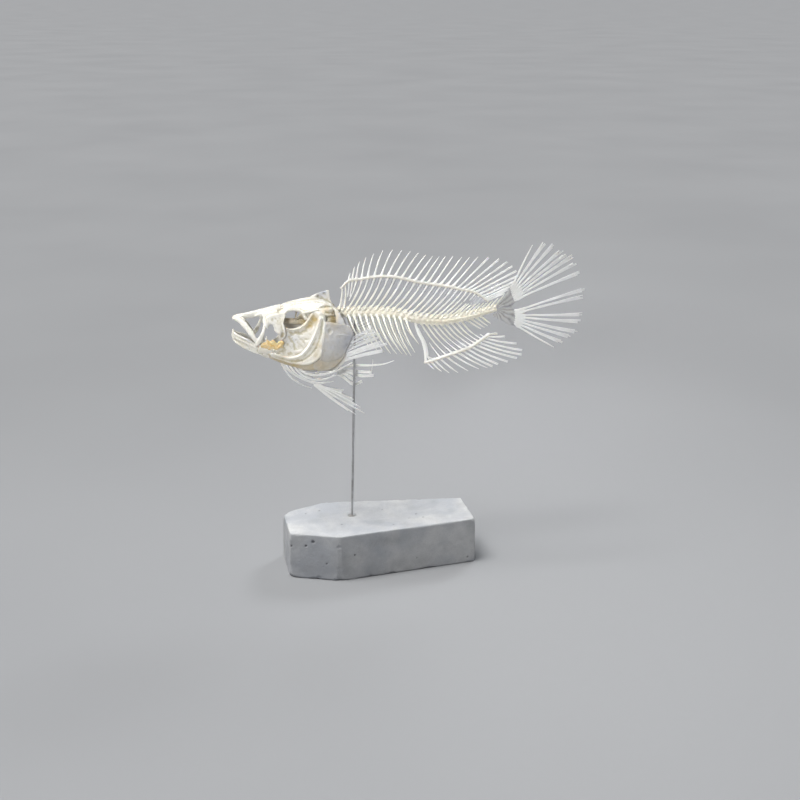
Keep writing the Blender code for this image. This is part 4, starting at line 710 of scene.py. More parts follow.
def plate(shape, outline, side, depth, thick, outer=None, edge=1.2, step=0.5, ragged=0.12):
    """A thin bone with a smooth (x, z) outline. depth tells its distance from the middle plane, outer what its
    outward face gains. It thins out towards its rim, which is a little ragged."""
    length = np.linalg.norm(np.diff(arr(outline + outline[:1]), axis=0), axis=1).sum()
    rim = closed_curve(outline, int(length / step))
    rim = rim + ragged * np.stack([noise(np.pad(rim, ((0, 0), (0, 1))), 1.1, seed) for seed in (13, 14)], -1)
    low, high = rim.min(axis=0), rim.max(axis=0)
    fill = np.concatenate([
        np.stack([x := np.arange(low[0] + (k % 2) * step / 2, high[0], step), np.full(len(x), z)], -1)
        for k, z in enumerate(np.arange(low[1], high[1], step * 0.87))
    ])
    fill = fill[inside(fill, rim)]
    flat = np.concatenate([rim, fill[nearest(fill, rim) > 0.55 * step]])
    links = [(k, (k + 1) % len(rim)) for k in range(len(rim))]
    made = delaunay_2d_cdt([Vector(p) for p in flat], links, [], 0, 1e-5, False)
    flat, tris = arr([tuple(p) for p in made[0]]), np.array(made[2], int)
    tris = tris[inside(flat[tris].mean(axis=1), rim)]
    fade = 1 - np.clip(nearest(flat, rim) / edge, 0, 1)
    fade = 0.12 + 0.88 * np.sqrt(1 - fade**2)
    middle, gain = depth(flat), outer(flat) if outer else 0.0
    faces = [np.stack([flat[:, 0], side * out, flat[:, 1]], -1)
             for out in (middle + (thick / 2 + gain) * fade, middle - thick / 2 * fade)]
    ring, size = boundary(tris), len(flat)
    belt = np.stack([ring[:, 0], ring[:, 1], ring[:, 1] + size, ring[:, 0] + size], -1)
    shape.add(np.concatenate(faces), belt, np.concatenate([tris[:, ::-1], tris + size]))


def slab(shape, outline, thick, side_of=lambda x: 0.0, step=0.8):
    """A blade with an (x, z) outline. side_of tells its distance from the middle plane at x."""
    corners = arr(outline)
    fine = []
    for a, b in zip(corners, np.roll(corners, -1, axis=0)):
        parts = max(1, int(np.linalg.norm(b - a) / step))
        fine += [a + (b - a) * k / parts for k in range(parts)]
    fine = arr(fine)
    flat = np.stack([fine[:, 0], [side_of(x) for x in fine[:, 0]], fine[:, 1]], -1)
    tris = np.array(tessellate_polygon([[Vector((x, z, 0)) for x, z in fine]]))
    a, b, c = (fine[tris[:, k]] for k in range(3))
    area = np.cross(fine, np.roll(fine, -1, axis=0)).sum()
    wrong = np.cross(b - a, c - a) * area > 0
    tris[wrong] = tris[wrong][:, ::-1]
    at, count = np.arange(len(fine)), len(fine)
    after = np.roll(at, -1)
    rim = np.stack([at, after, after + count, at + count], -1)
    points = np.concatenate([flat - (0, thick / 2, 0), flat + (0, thick / 2, 0)])
    shape.add(points, rim, np.concatenate([tris, tris[:, ::-1] + count]))


def gathered(places, vectors, count):
    """The sum of the vectors that belong to each of count places."""
    return np.stack([np.bincount(places, vectors[:, i], count) for i in range(3)], -1)


def vertex_normals(points, quads):
    a, b, c, d = (points[quads[:, k]] for k in range(4))
    facing = np.cross(c - a, d - b)
    return unit(sum(gathered(quads[:, k], facing, len(points)) for k in range(4)))


def fused(shape, voxel, rounds=3, relief=None):
    """One skin round all the shells, softened: bones that have grown together. relief(points) is added
    along the skin's normals."""
    helper = bpy.data.objects.new("shells", shape.mesh("shells"))
    bpy.context.scene.collection.objects.link(helper)
    skin = helper.modifiers.new("skin", "REMESH")
    skin.mode, skin.voxel_size = "VOXEL", voxel
    evaluated = helper.evaluated_get(bpy.context.evaluated_depsgraph_get())
    mesh = evaluated.to_mesh()
    points = np.empty(len(mesh.vertices) * 3, np.float32)
    mesh.vertices.foreach_get("co", points)
    points = points.reshape(-1, 3).astype(float)
    quads = np.empty(len(mesh.loops), np.int32)
    mesh.loops.foreach_get("vertex_index", quads)
    quads = quads.reshape(-1, 4)
    evaluated.to_mesh_clear()
    bpy.data.objects.remove(helper)
    a, b = quads.ravel(), np.roll(quads, -1, axis=1).ravel()
    degree = np.bincount(a, minlength=len(points))[:, None]
    for k in range(2 * rounds):
        around = gathered(a, points[b], len(points)) / degree
        points = points + (around - points) * (0.5 if k % 2 == 0 else -0.48)
    if relief:
        points = points + vertex_normals(points, quads) * relief(points)[:, None]
    made = Shape()
    made.add(points, quads)
    return made


# Pieces


def painted(kind, points, start):
    """The strength of one of the bones' colours at each point."""
    value, level = np.zeros(len(points)) + start, folded(points)
    for centre, radius, strength in PATCHES[kind]:
        gap = np.linalg.norm((level - centre) * (1, 0.5, 1), axis=1)
        close = gap < 3 * radius
        value[close] += strength * bump(gap[close], 0, radius) * (0.8 + 0.5 * noise(points[close], 0.6 * radius, 4))
    return value


def groove_shade_mask(shape):
    """How deep each point lies below the level of what surrounds it, from -1 on a ridge to 1 in a groove."""
    points, count = shape.points, len(shape.points)
    a = np.concatenate([shape.quads.ravel(), shape.tris.ravel()])
    b = np.concatenate([np.roll(shape.quads, -1, axis=1).ravel(), np.roll(shape.tris, -1, axis=1).ravel()])
    degree = np.maximum(np.bincount(a, minlength=count), 1)[:, None]
    level = points
    for _ in range(10):
        level = gathered(a, level[b], count) / degree
    corners = triangles(shape.quads, shape.tris)
    first, second, third = (points[corners[:, k]] for k in range(3))
    facing = np.cross(second - first, third - first)
    normals = unit(sum(gathered(corners[:, k], facing, count) for k in range(3)))
    # This depth sets the painted shade in each groove.
    return np.clip(((level - points) * normals).sum(-1) / GROOVE_SHADE_DEPTH, -1, 1)


def piece(name, shape, look, slot, *nodes, porous=0.0, **paint):
    """Makes the shape an object that rides on the skeleton and stands for the given nodes. paint tells how
    stained, clear and dark all of it is, and porous how dark its pores are. On some pieces the stains and
    darkening are partly painted shade; the depth of the grooves is kept for painted shade in them."""
    layers = {kind: painted(kind, shape.points, paint.get(kind, 0.0)) for kind in PATCHES}
    if porous:
        layers["dark"] += porous * pores(shape.points)
    mesh = shape.mesh(name, MM, (0, MID_Y, 0))
    # The groove depth becomes a layer for painted shade in the grooves.
    layers = {kind: np.clip(value, 0, 1) for kind, value in layers.items()} | {"groove_shade": groove_shade_mask(shape)}
    for kind, value in layers.items():
        mesh.attributes.new(kind, "FLOAT", "POINT").data.foreach_set("value", value.astype(np.float32))
    mesh.materials.append(look)
    made = bpy.data.objects.new(name, mesh)
    bpy.context.scene.collection.objects.link(made)
    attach(made, "root")
    if nodes:
        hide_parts(*nodes)


# Materials

# The olive is painted shade in the grooves; the brown serves real stains and some painted shade.
GROOVE_SHADE_OLIVE, STAIN_AND_SHADE_BROWN = (0.40, 0.36, 0.22), (0.47, 0.35, 0.14)
PIT_BROWN, DARK_BROWN, CLEAR_GREY = (0.25, 0.20, 0.12), (0.055, 0.05, 0.04), (0.50, 0.52, 0.58)


class Look:
    """A material whose nodes are made one call at a time."""

    def __init__(self, name):
        self.made = bpy.data.materials.new(name)
        self.made.use_nodes = True
        self.tree = self.made.node_tree
        self.shader = self.tree.nodes["Principled BSDF"]
        self.place = self.tree.nodes.new("ShaderNodeTexCoord").outputs["Object"]

    def put(self, socket, value):
        if isinstance(value, bpy.types.NodeSocket):
            self.tree.links.new(value, socket)
        else:
            socket.default_value = value

    def add(self, kind, values, **settings):
        node = self.tree.nodes.new("ShaderNode" + kind)
        for key, value in settings.items():
            setattr(node, key, value)
        for key, value in values.items():
            self.put(node.inputs[key], value)
        return node

    def noise(self, scale, detail=3.0, roughness=0.55, distortion=0.0):
        values = {"Scale": scale, "Detail": detail, "Roughness": roughness, "Distortion": distortion}
        return self.add("TexNoise", {"Vector": self.place} | values).outputs[0]

    def cells(self, scale, size):
        """1 in the middle of each cell, falling to 0 at the given distance from it."""
        distance = self.add("TexVoronoi", {"Vector": self.place, "Scale": scale}).outputs["Distance"]
        return self.fit(distance, 0.0, size, 1.0, 0.0)

    def fit(self, value, low, high, to_low=0.0, to_high=1.0):
        values = {"Value": value, "From Min": low, "From Max": high, "To Min": to_low, "To Max": to_high}
        return self.add("MapRange", values).outputs[0]

    def math(self, operation, a, b):
        return self.add("Math", {0: a, 1: b}, operation=operation).outputs[0]

    def plus(self, a, b):
        return self.math("ADD", a, b)

    def minus(self, a, b):
        return self.math("SUBTRACT", a, b)

    def times(self, a, b):
        return self.math("MULTIPLY", a, b)

    def mix(self, share, a, b):
        a, b = (c if isinstance(c, bpy.types.NodeSocket) else (*c, 1.0) for c in (a, b))
        return self.add("Mix", {0: share, 6: a, 7: b}, data_type="RGBA").outputs[2]

    def layer(self, name):
        return self.add("Attribute", {}, attribute_name=name).outputs["Fac"]

    def shade(self, colour, fine, rough, height, depth, strength, **values):
        """Sets the shader: a roughness that follows fine within the range rough, and a relief of height."""
        values = {"Base_Color": colour, "Roughness": self.fit(fine, 0.3, 0.7, *rough)} | values
        values["Normal"] = self.add("Bump", {"Height": height, "Distance": depth, "Strength": strength}).outputs[0]
        for key, value in values.items():
            self.put(self.shader.inputs[key.replace("_", " ")], value)
        return self.made


def bone_look(name, pale, deep, groove_shading, clear=CLEAR_GREY, rough=(0.38, 0.62), through=0.12, clearness=0.0):
    """Dry bone: pale on its ridges, with painted olive shade in its grooves, deeper in large soft patches, stained
    (the stains partly painted shade), pitted, and thin where clear."""
    look = Look(name)
    broad = look.fit(look.noise(110, 4, 0.6, 0.4), 0.38, 0.68)
    fine, grain = look.noise(900, 5, 0.6), look.noise(3600, 4, 0.65)
    pits = look.cells(820, 0.16)
    scarce = look.fit(look.noise(240, 2), 0.52, 0.66)
    colour = look.mix(look.times(broad, 0.7), pale, deep)
    colour = look.mix(look.fit(fine, 0.3, 0.75, 0.0, 0.35), colour, deep)
    colour = look.mix(look.plus(look.layer("clear"), clearness), colour, clear)
    # Painted shade: grooves are coloured olive by how deep they lie.
    groove = look.fit(look.layer("groove_shade"), 0.0, 1.0, 0.0, groove_shading)
    colour = look.mix(look.times(groove, look.fit(fine, 0.3, 0.7, 0.75, 1.1)), colour, GROOVE_SHADE_OLIVE)
    # The stain layer holds real stains and, on some bones, painted shade.
    stained = look.times(look.layer("stain"), look.fit(fine, 0.25, 0.7, 0.7, 1.1))
    colour = look.mix(stained, colour, STAIN_AND_SHADE_BROWN)
    colour = look.mix(look.times(look.times(pits, scarce), 0.35), colour, PIT_BROWN)
    # The dark layer holds dark marks and pores, and painted shade on the interopercle.
    colour = look.mix(look.layer("dark"), colour, DARK_BROWN)
    height = look.plus(look.times(fine, 0.7), look.times(grain, 0.3))
    height = look.minus(height, look.times(pits, 0.5))
    return look.shade(
        colour, fine, rough, height, 0.00018, 0.55,
        Subsurface_Weight=through, Subsurface_Radius=(1.0, 0.75, 0.5), Subsurface_Scale=0.0012, IOR=1.5
    )


def web_look(name, lean):
    """Dried skin between bones: thin, greyish, partly see-through and streaked at the angle lean."""
    look = Look(name)
    turned = {"Vector": look.place, "Rotation": (0.0, math.radians(90 - lean), 0.0), "Scale": (1.0, 1.0, 9.0)}
    look.place = look.add("Mapping", turned, vector_type="TEXTURE").outputs[0]
    broad, fine = look.noise(230, 3, 0.5, 0.3), look.noise(1100, 3, 0.6, 0.3)
    colour = look.mix(look.fit(fine, 0.3, 0.7), (0.50, 0.51, 0.54), (0.74, 0.74, 0.75))
    alpha = look.plus(look.fit(broad, 0.36, 0.66, 0.08, 0.62), look.fit(fine, 0.35, 0.7, -0.06, 0.20))
    return look.shade(colour, fine, (0.35, 0.6), fine, 0.0001, 0.3, Alpha=alpha)


def concrete_look():
    look = Look("cast concrete")
    broad, middle, sand = look.noise(26, 5, 0.6, 0.3), look.noise(140, 5, 0.65), look.noise(1500, 4, 0.7)
    colour = look.mix(look.fit(broad, 0.40, 0.60), (0.46, 0.48, 0.515), (0.63, 0.635, 0.635))
    colour = look.mix(look.fit(middle, 0.42, 0.70, 0.0, 0.45), colour, (0.42, 0.425, 0.44))
    grains = look.cells(900, 0.22)
    kinds = look.noise(420, 2)
    colour = look.mix(look.times(grains, look.fit(kinds, 0.50, 0.62, 0.0, 0.55)), colour, (0.17, 0.17, 0.175))
    colour = look.mix(look.times(grains, look.fit(kinds, 0.36, 0.48, 0.5, 0.0)), colour, (0.68, 0.68, 0.67))
    colour = look.mix(look.fit(sand, 0.35, 0.7, 0.0, 0.25), colour, (0.28, 0.28, 0.29))
    # The dark layer carries painted shade on the sides and in the pits, and the concrete's own darker patches.
    colour = look.mix(look.layer("dark"), colour, (0.07, 0.07, 0.075))
    colour = look.mix(look.layer("clear"), colour, (0.66, 0.66, 0.66))
    holes = look.cells(300, 0.13)
    height = look.plus(look.times(sand, 0.5), look.times(middle, 0.5))
    height = look.minus(height, look.times(holes, 1.2))
    return look.shade(colour, sand, (0.78, 0.95), height, 0.0004, 0.7)


def steel_look():
    look = Look("dull steel wire")
    stretched = look.add("Mapping", {"Vector": look.place, "Scale": (4000.0, 4000.0, 60.0)}).outputs[0]
    brushed = look.add("TexNoise", {"Vector": stretched, "Scale": 1.0, "Detail": 3.0}).outputs[0]
    colour = look.mix(look.fit(look.noise(160, 4, 0.6), 0.4, 0.7), (0.52, 0.52, 0.53), (0.36, 0.355, 0.35))
    return look.shade(colour, brushed, (0.32, 0.5), brushed, 0.00005, 0.4, Metallic=0.85)


def glue_look():
    look = Look("set glue")
    fine = look.noise(500, 4, 0.6)
    colour = look.mix(look.fit(fine, 0.35, 0.7), (0.36, 0.35, 0.33), (0.22, 0.215, 0.20))
    return look.shade(colour, fine, (0.3, 0.55), fine, 0.0003, 0.5, Subsurface_Weight=0.15, Subsurface_Scale=0.002)


def tissue_look():
    look = Look("dried orange tissue")
    fine = look.noise(650, 5, 0.65, 0.5)
    colour = look.mix(look.fit(fine, 0.35, 0.62), (0.69, 0.46, 0.15), (0.74, 0.61, 0.35))
    colour = look.mix(look.fit(look.noise(220, 3), 0.50, 0.72, 0.0, 0.7), colour, (0.72, 0.68, 0.55))
    return look.shade(
        colour, fine, (0.3, 0.55), fine, 0.0003, 0.6,
        Subsurface_Weight=0.25, Subsurface_Radius=(1.0, 0.6, 0.2), Subsurface_Scale=0.0015
    )


IVORY = bone_look("ivory bone", (0.77, 0.755, 0.705), (0.69, 0.655, 0.555), 0.75)
CREAM = bone_look("cream bone", (0.82, 0.81, 0.75), (0.74, 0.72, 0.62), 0.32)
RAY = bone_look("fin ray bone", (0.87, 0.865, 0.84), (0.78, 0.77, 0.73), 0.25)
CLEAR = bone_look(
    "thin clear bone", (0.56, 0.55, 0.52), (0.42, 0.41, 0.39), 0.35, (0.36, 0.37, 0.41), (0.3, 0.5), 0.2, 0.12
)
DORSAL_WEB, ANAL_WEB, GILL_SKIN = web_look("dorsal skin", 62), web_look("anal skin", -58), web_look("gill skin", -35)
CONCRETE, STEEL, GLUE, TISSUE = concrete_look(), steel_look(), glue_look(), tissue_look()


# Base and rod


def base_corners(grown):
    """The six corners (x, y) of the base's top, moved outwards by a distance."""
    end = BASE_LENGTH / 2
    half = [(-end - grown, HEAD_WIDTH / 2 + grown), (-end + SHOULDER_AT, SHOULDER_WIDTH / 2 + grown),
            (end + grown, FOOT_WIDTH / 2 + grown)]
    return half + [(x, -y) for x, y in reversed(half)]


def base_planes():
    """Outward normals and distances of the base's eight faces, in its own (x, y, z)."""
    loop = base_corners(0)
    planes = [(arr((0, 0, 1)), BASE_HEIGHT), (arr((0, 0, -1)), 0.0)]
    for (ax, ay), (bx, by) in zip(loop, loop[1:] + loop[:1]):
        out = unit(arr((-(by - ay), bx - ax, BASE_DRAFT / BASE_HEIGHT * math.hypot(bx - ax, by - ay))))
        planes.append((out, out @ (ax, ay, BASE_HEIGHT)))
    return planes


def worn(points):
    """The base's points with its edges rounded unevenly."""
    rounding = 0.75 + 0.55 * noise(points, 5, 21) + 0.9 * np.clip(noise(points, 3.2, 22) - 0.35, 0, 1) * 3
    rounding += np.where(points[:, 2] < 10, 0.35, 0.0)
    for x, y, z, reach, extra in CHIPS:
        rounding += extra * bump(np.linalg.norm(points - (x, y, z), axis=1), 0, reach)
    rounding = np.clip(rounding, 0.3, 5)[:, None]
    planes = base_planes()
    depth = np.stack([limit - points @ out for out, limit in planes], -1)
    short = np.clip(rounding - depth, 0, None)
    away = short @ arr([out for out, _ in planes])
    return points - unit(away) * np.clip(np.linalg.norm(short, axis=1) - rounding[:, 0], 0, None)[:, None]


def make_base():
    levels = [(z, base_corners(BASE_DRAFT * (1 - z / BASE_HEIGHT))) for z in np.linspace(0, BASE_HEIGHT, 9)]
    block = Shape()
    block.rings(arr([[(x, y, z) for x, y in loop] for z, loop in levels]), arr([(0, 0, 0), (0, 0, BASE_HEIGHT)]))
    block = fused(block, 0.5, 1)
    points = worn(block.points)
    uneven = 0.09 * noise(points, 7, 23) + 0.05 * noise(points, 1.6, 24)
    points = points + vertex_normals(points, block.quads) * uneven[:, None]
    normals = vertex_normals(points, block.quads)
    # Painted shade: the sides are darkened the more they turn away from the top; the noise term gives the concrete's
    # own darker patches.
    dark = 0.19 * np.clip(1 - normals[:, 2], 0, 1) + 0.16 * np.clip(noise(points, 9, 26), 0, 1)
    # Painted shade: each pit is darkened inside, as well as sunk.
    for x, y, z, radius in BASE_PITS:
        pit = np.clip(1 - (np.linalg.norm(points - (x, y, z), axis=1) / radius) ** 2, 0, 1)
        points = points - normals * (0.9 * radius * np.sqrt(pit))[:, None]
        dark += 0.8 * pit
    foot = np.hypot(points[:, 0] - ROD_FOOT_X, points[:, 1] - MID_Y)
    sunk = np.clip((SOCKET_RADIUS + 0.15 * noise(points, 1.5, 25) - foot) / 0.5, 0, 1)
    points[:, 2] -= np.where(points[:, 2] > BASE_HEIGHT - 2, SOCKET_SHOWS * sunk, 0)
    points[:, 2] = np.clip(points[:, 2], 0.0, BASE_HEIGHT)
    block.points = points - (0, MID_Y, 0)
    piece("concrete_base", block, CONCRETE, "concrete", "stand_base", dark=np.clip(dark, 0, 0.8))


def make_rod():
    top_x = ROD_FOOT_X + (172 - BASE_HEIGHT) * math.tan(ROD_LEAN)
    top = smooth(COLUMN_Z, top_x) - smooth(COLUMN_RADIUS, top_x) + 0.2
    heights = np.linspace(BASE_HEIGHT - 4.4, top, 60)
    path = upright(np.stack([ROD_FOOT_X + (heights - BASE_HEIGHT) * math.tan(ROD_LEAN), heights], -1))
    rod = Shape()
    tube(rod, path, 2 * ROD_RADIUS, 2 * ROD_RADIUS, (0, 1, 0), 24, 0.0, (0.3, 0.3))
    piece("steel_rod", rod, STEEL, "steel", "stand_rod")
    cosines, sines = turns(40)
    centres = arr([(ROD_FOOT_X, 0, z) for _, z in GLUE_PROFILE])
    circle = np.stack([cosines, sines, 0 * cosines], -1)
    rings = centres[:, None] + circle * arr([radius for radius, _ in GLUE_PROFILE])[:, None, None]
    rings[..., :2] += 0.10 * (rings - centres[:, None])[..., :2] * noise(rings, 1.4, 31)[..., None]
    glue = Shape()
    glue.rings(rings, centres[[0, -1]])
    piece("set_glue", glue, GLUE, "glue", "stand_glue")


# Backbone


def vertebra(n):
    """Centre of the column at vertebra number n, which may lie between two."""
    x = smooth(VERTEBRA_X, n)
    return upright(np.stack([x, smooth(COLUMN_Z, x)], -1))


def by_vertebra(n, back, out, up):
    """A place near vertebra n: back counts in vertebrae, out and up in its radii."""
    radius = smooth(COLUMN_RADIUS, vertebra(n)[0])
    return vertebra(n + back) + arr((0, out * radius, up * radius))


def column_edge(n, up):
    x = smooth(VERTEBRA_X, n + 0.25)
    return arr((x, 0, smooth(COLUMN_Z, x) + up * 0.93 * smooth(COLUMN_RADIUS, x)))


def ridge_place(ridge, x, above=0.0):
    return arr((x, 0, smooth(ridge, x) + above))


def fan_line(start, end, t, bow):
    """Places at the shares t along a slightly bowed line from start to end."""
    normal = unit(arr((-(end - start)[2], 0, (end - start)[0])))
    t = np.asarray(t, float)[:, None]
    return start + (end - start) * t + normal * (bow * np.sin(np.pi * t))


def leaning(start, length, degrees, bend=4, count=14):
    """A path that leans at the given angle and bends a little towards the horizontal."""
    turn = np.radians(degrees + bend * (1 - 2 * np.arange(count) / (count - 1)) * (1 if degrees > 0 else -1))
    steps = np.stack([np.cos(turn), 0 * turn, np.sin(turn)], -1) * (length / count)
    return np.concatenate([[start], start + np.cumsum(steps, axis=0)])


def centra(shape, first, last):
    """Vertebrae as a chain of hourglasses, each with ridges along its waist."""
    spots = np.arange(first - 0.5, last + 0.501, 1 / 16)
    centres = vertebra(spots)
    u = 2 * (spots - np.floor(spots + 0.5))
    radius = smooth(COLUMN_RADIUS, centres[:, 0]) * (0.87 + 0.15 * np.abs(u) ** 1.5)
    radius *= np.where(np.abs(u) > 0.93, 0.90, 1)
    turn = np.linspace(0, 2 * np.pi, 36, endpoint=False)
    waist = (1 - u**2)[:, None]
    ridges = 1 + 0.07 * waist * np.cos(6 * turn) - 0.05 * waist * (np.cos(turn) ** 2)
    around = np.cos(turn)[:, None] * arr((0, 1, 0)) - np.sin(turn)[:, None] * beside(centres)[:, None]
    rings = centres[:, None] + around * (radius[:, None] * ridges)[..., None]
    rings = rings + around * (0.07 * noise(rings, 1.0, 41) + 0.05 * noise(rings, 0.5, 42))[..., None]
    shape.rings(rings, centres[[0, -1]])


def arch(shape, n, path, up):
    """An arch of bone on vertebra n with the spine that grows from it along path."""
    crown = path[2]
    radius = smooth(COLUMN_RADIUS, vertebra(n)[0])
    for side in (-1, 1):
        foot = by_vertebra(n, 0.02, side * 0.62, up * 0.62)
        knee = (foot + crown) / 2 + arr((0, side * 0.35 * radius, up * 0.2))
        bone(shape, [foot, knee, crown], [2.0, 1.4, 1.0], [0.8, 0.7, 0.6], count=8, sides=8)
        hook, tip = by_vertebra(n, -0.36, side * 0.42, up * 0.86), by_vertebra(n, -0.62, side * 0.50, up * 1.14)
        bone(shape, [foot, hook, tip], [1.2, 0.9, 0.5], [0.8, 0.7, 0.5], count=7, sides=8)
    tube(shape, path, *ARCH_SPINE, grain=0.10)


def neural_path(n):
    foot = column_edge(n, 1)
    if n >= FIRST_FREE_NEURAL:
        return leaning(foot, smooth(FREE_NEURAL_LENGTH, n), smooth(FREE_NEURAL_ANGLE, n))
    if n < len(FRONT_TARGETS):
        end, reach = upright(FRONT_TARGETS[n]), FRONT_REACH
    else:
        end = ridge_place(DORSAL_RIDGE, smooth(DORSAL_X, smooth(NEURAL_TARGET, n)), -RIDGE_HALF)
        reach = smooth(NEURAL_REACH, n)
    return fan_line(foot, end, np.linspace(-0.02, reach, 15), NEURAL_BOW)


def haemal_path(n):
    foot = column_edge(n, -1)
    if n >= FIRST_FREE_HAEMAL:
        return leaning(foot, smooth(FREE_HAEMAL_LENGTH, n), smooth(FREE_HAEMAL_ANGLE, n))
    end = ridge_place(ANAL_RIDGE, smooth(HAEMAL_TARGET, n), RIDGE_HALF)
    return fan_line(foot, end, np.linspace(-0.02, HAEMAL_REACH, 15), HAEMAL_BOW)


def make_backbone():
    trunk, tail = Shape(), Shape()
    centra(trunk, 0, TRUNK_VERTEBRAE - 1)
    centra(tail, TRUNK_VERTEBRAE, VERTEBRAE - 1)
    for n in range(VERTEBRAE):
        part = trunk if n < TRUNK_VERTEBRAE else tail
        arch(part, n, neural_path(n), 1)
        if TRUNK_VERTEBRAE < n <= LAST_HAEMAL:
            arch(part, n, haemal_path(n), -1)
    for part, word in ((trunk, "trunk"), (tail, "tail")):
        stain = 0.31 * bump(part.points[:, 2], smooth(COLUMN_Z, part.points[:, 0]), 4.0)
        piece(word + "_vertebrae", part, CREAM, "cream_bone", "backbone_" + word, stain=stain)


def make_ribs():
    t = np.linspace(0, 1, 22)
    for side, word in SIDES:
        ribs = Shape()
        for k in range(RIB_PAIRS):
            n = k + 2
            foot = by_vertebra(n, 0.25, side * 0.83, -0.44)
            drop, sweep, bow = smooth(RIB_DROP, k), smooth(RIB_SWEEP, k), smooth(RIB_BOW, k)
            out = bow * np.sin(np.pi * t * 0.68) ** 0.8
            path = np.stack([foot[0] + sweep * t**1.7, side * (2.4 + out), foot[2] - drop * t], -1)
            tube(ribs, path, *RIB, (1, 0, 0), grain=0.08)
            head = [by_vertebra(n, 0.1, side * 0.7, -0.3), foot + arr((0, side * 0.5, -0.4))]
            bone(ribs, head, [2.4, 1.6], [2.2, 1.4], (1, 0, 0), 6)
        for n in range(TRUNK_VERTEBRAE):
            ball(ribs, by_vertebra(n, -0.02, side * 0.72, -0.55), (0.9, 0.45, 0.55))
        piece("ribs_" + word + "_side", ribs, CREAM, "cream_bone", "ribs_" + word)


# Unpaired fins


def split_ray(shape, path, wide, thick, fork, spread_by, sides=8, twice=False):
    """A soft ray: one stem that forks towards its tip into flat branches that lie side by side."""
    at = int(fork * (len(path) - 1))

    def strand(path, widths, thicks, sides=sides):
        tube(shape, path, wide * arr(widths), thicks, sides=sides, grain=0.08)

    strand(path[:at + 5], [1.25, 1, 1, 1, 0.6], thick * arr([1.2, 1, 0.9, 0.8, 0.25]))
    normal = beside(path)
    if twice:
        tube(shape, path[at:-3], [wide * 0.9, wide, 1.1 * wide + spread_by, 0.9 * wide + 2 * spread_by],
             [thick * 0.45, 0.25], sides=8)
    t = np.linspace(0, 1, len(path) - at)
    for way in (-1, 1):
        branch = path[at:] + normal[at:] * (way * (0.25 * wide + spread_by * t**1.2))[:, None]
        if not twice:
            strand(branch, [0.3, 0.6, 0.62, 0.62, 0.58, 0.5, 0.4], [*(thick * arr([0.3, 0.85, 0.7, 0.6])), 0.3])
            continue
        half = len(branch) // 2
        strand(branch[:half + 3], [0.3, 0.6, 0.6, 0.6, 0.3], thick * arr([0.3, 0.85, 0.75, 0.7, 0.25]))
        u = np.linspace(0, 1, len(branch) - half)
        for turn in (-1, 1):
            twig = branch[half:] + normal[at:][half:] * (turn * (0.15 * wide + 0.42 * spread_by * u))[:, None]
            missing = max(0, int(1.2 + 1.6 * noise(twig[-1:], 0.7, 53)[0]))
            strand(twig[:len(twig) - missing], [0.25, 0.46, 0.46, 0.40], [0.3, thick * 0.7, 0.5, 0.34], 6)


def skin_between(shape, a, b, columns, uneven, thick, **more):
    """Thin, uneven skin between two paths."""
    grid = a[:, None] + (b - a)[:, None] * np.linspace(0, 1, columns)[:, None]
    sheet(shape, rippled(grid, *uneven), thick, **more)


def fin_skin(shape, paths, reach):
    """Thin skin between neighbouring rays, out to a share of their length."""
    for a, b in zip(paths, paths[1:]):
        stop = int(reach * min(len(a), len(b)))
        skin_between(shape, a[1:stop], b[1:stop], 6, (0.10, 1.5, 52), SKIN, edge=0.3)


def webs(shape, strut, stop, widths):
    """Thin flanges on both sides of a strut, as far as its place number stop."""
    normal = beside(strut)[:stop]
    for way in (-1, 1):
        reach = spread(widths, len(normal))[:, None] * np.linspace(0, 1, 5)
        grid = strut[:stop, None] + way * normal[:, None] * reach[..., None]
        sheet(shape, rippled(grid, 0.12, 1.5, 51), SKIN, edge=0.3)


def fin_ridge(shape, ridge, start, xs, thick, knuckle):
    """The bar of bone that carries the rays, with a knuckle at the foot of each."""
    x = np.linspace(start, xs[-1] + 0.4, 220)
    size = spread(thick, len(x))
    for place in xs:
        size = size * (1 + knuckle * bump(x, place, 0.7))
    tube(shape, upright(np.stack([x, smooth(ridge, x)], -1)), 1.75 * size, 1.7 * size, sides=14, grain=0.10)


def ridge_stain(fin, ridge):
    """A cream stain on top of the ridge, and olive below it, which is painted shade on its underside."""
    above = fin.points[:, 2] - smooth(ridge, fin.points[:, 0])
    # The second term is painted shade under the ridge.
    return 0.19 * bump(above, 0, 1.0) + 0.35 * bump(above, -0.9, 0.6)


def fin_ray(fin, root, ray, spine, foot):
    """One ray of an unpaired fin: a spine, where its breadths and thicknesses are given, or a soft ray."""
    if spine:
        tube(fin, ray, *spine, sides=12, grain=0.06)
    else:
        split_ray(fin, ray, 1.25, 0.75, 0.62, 0.10)
        bone(fin, [root, root + (ray[2] - ray[0])], *foot, count=5)


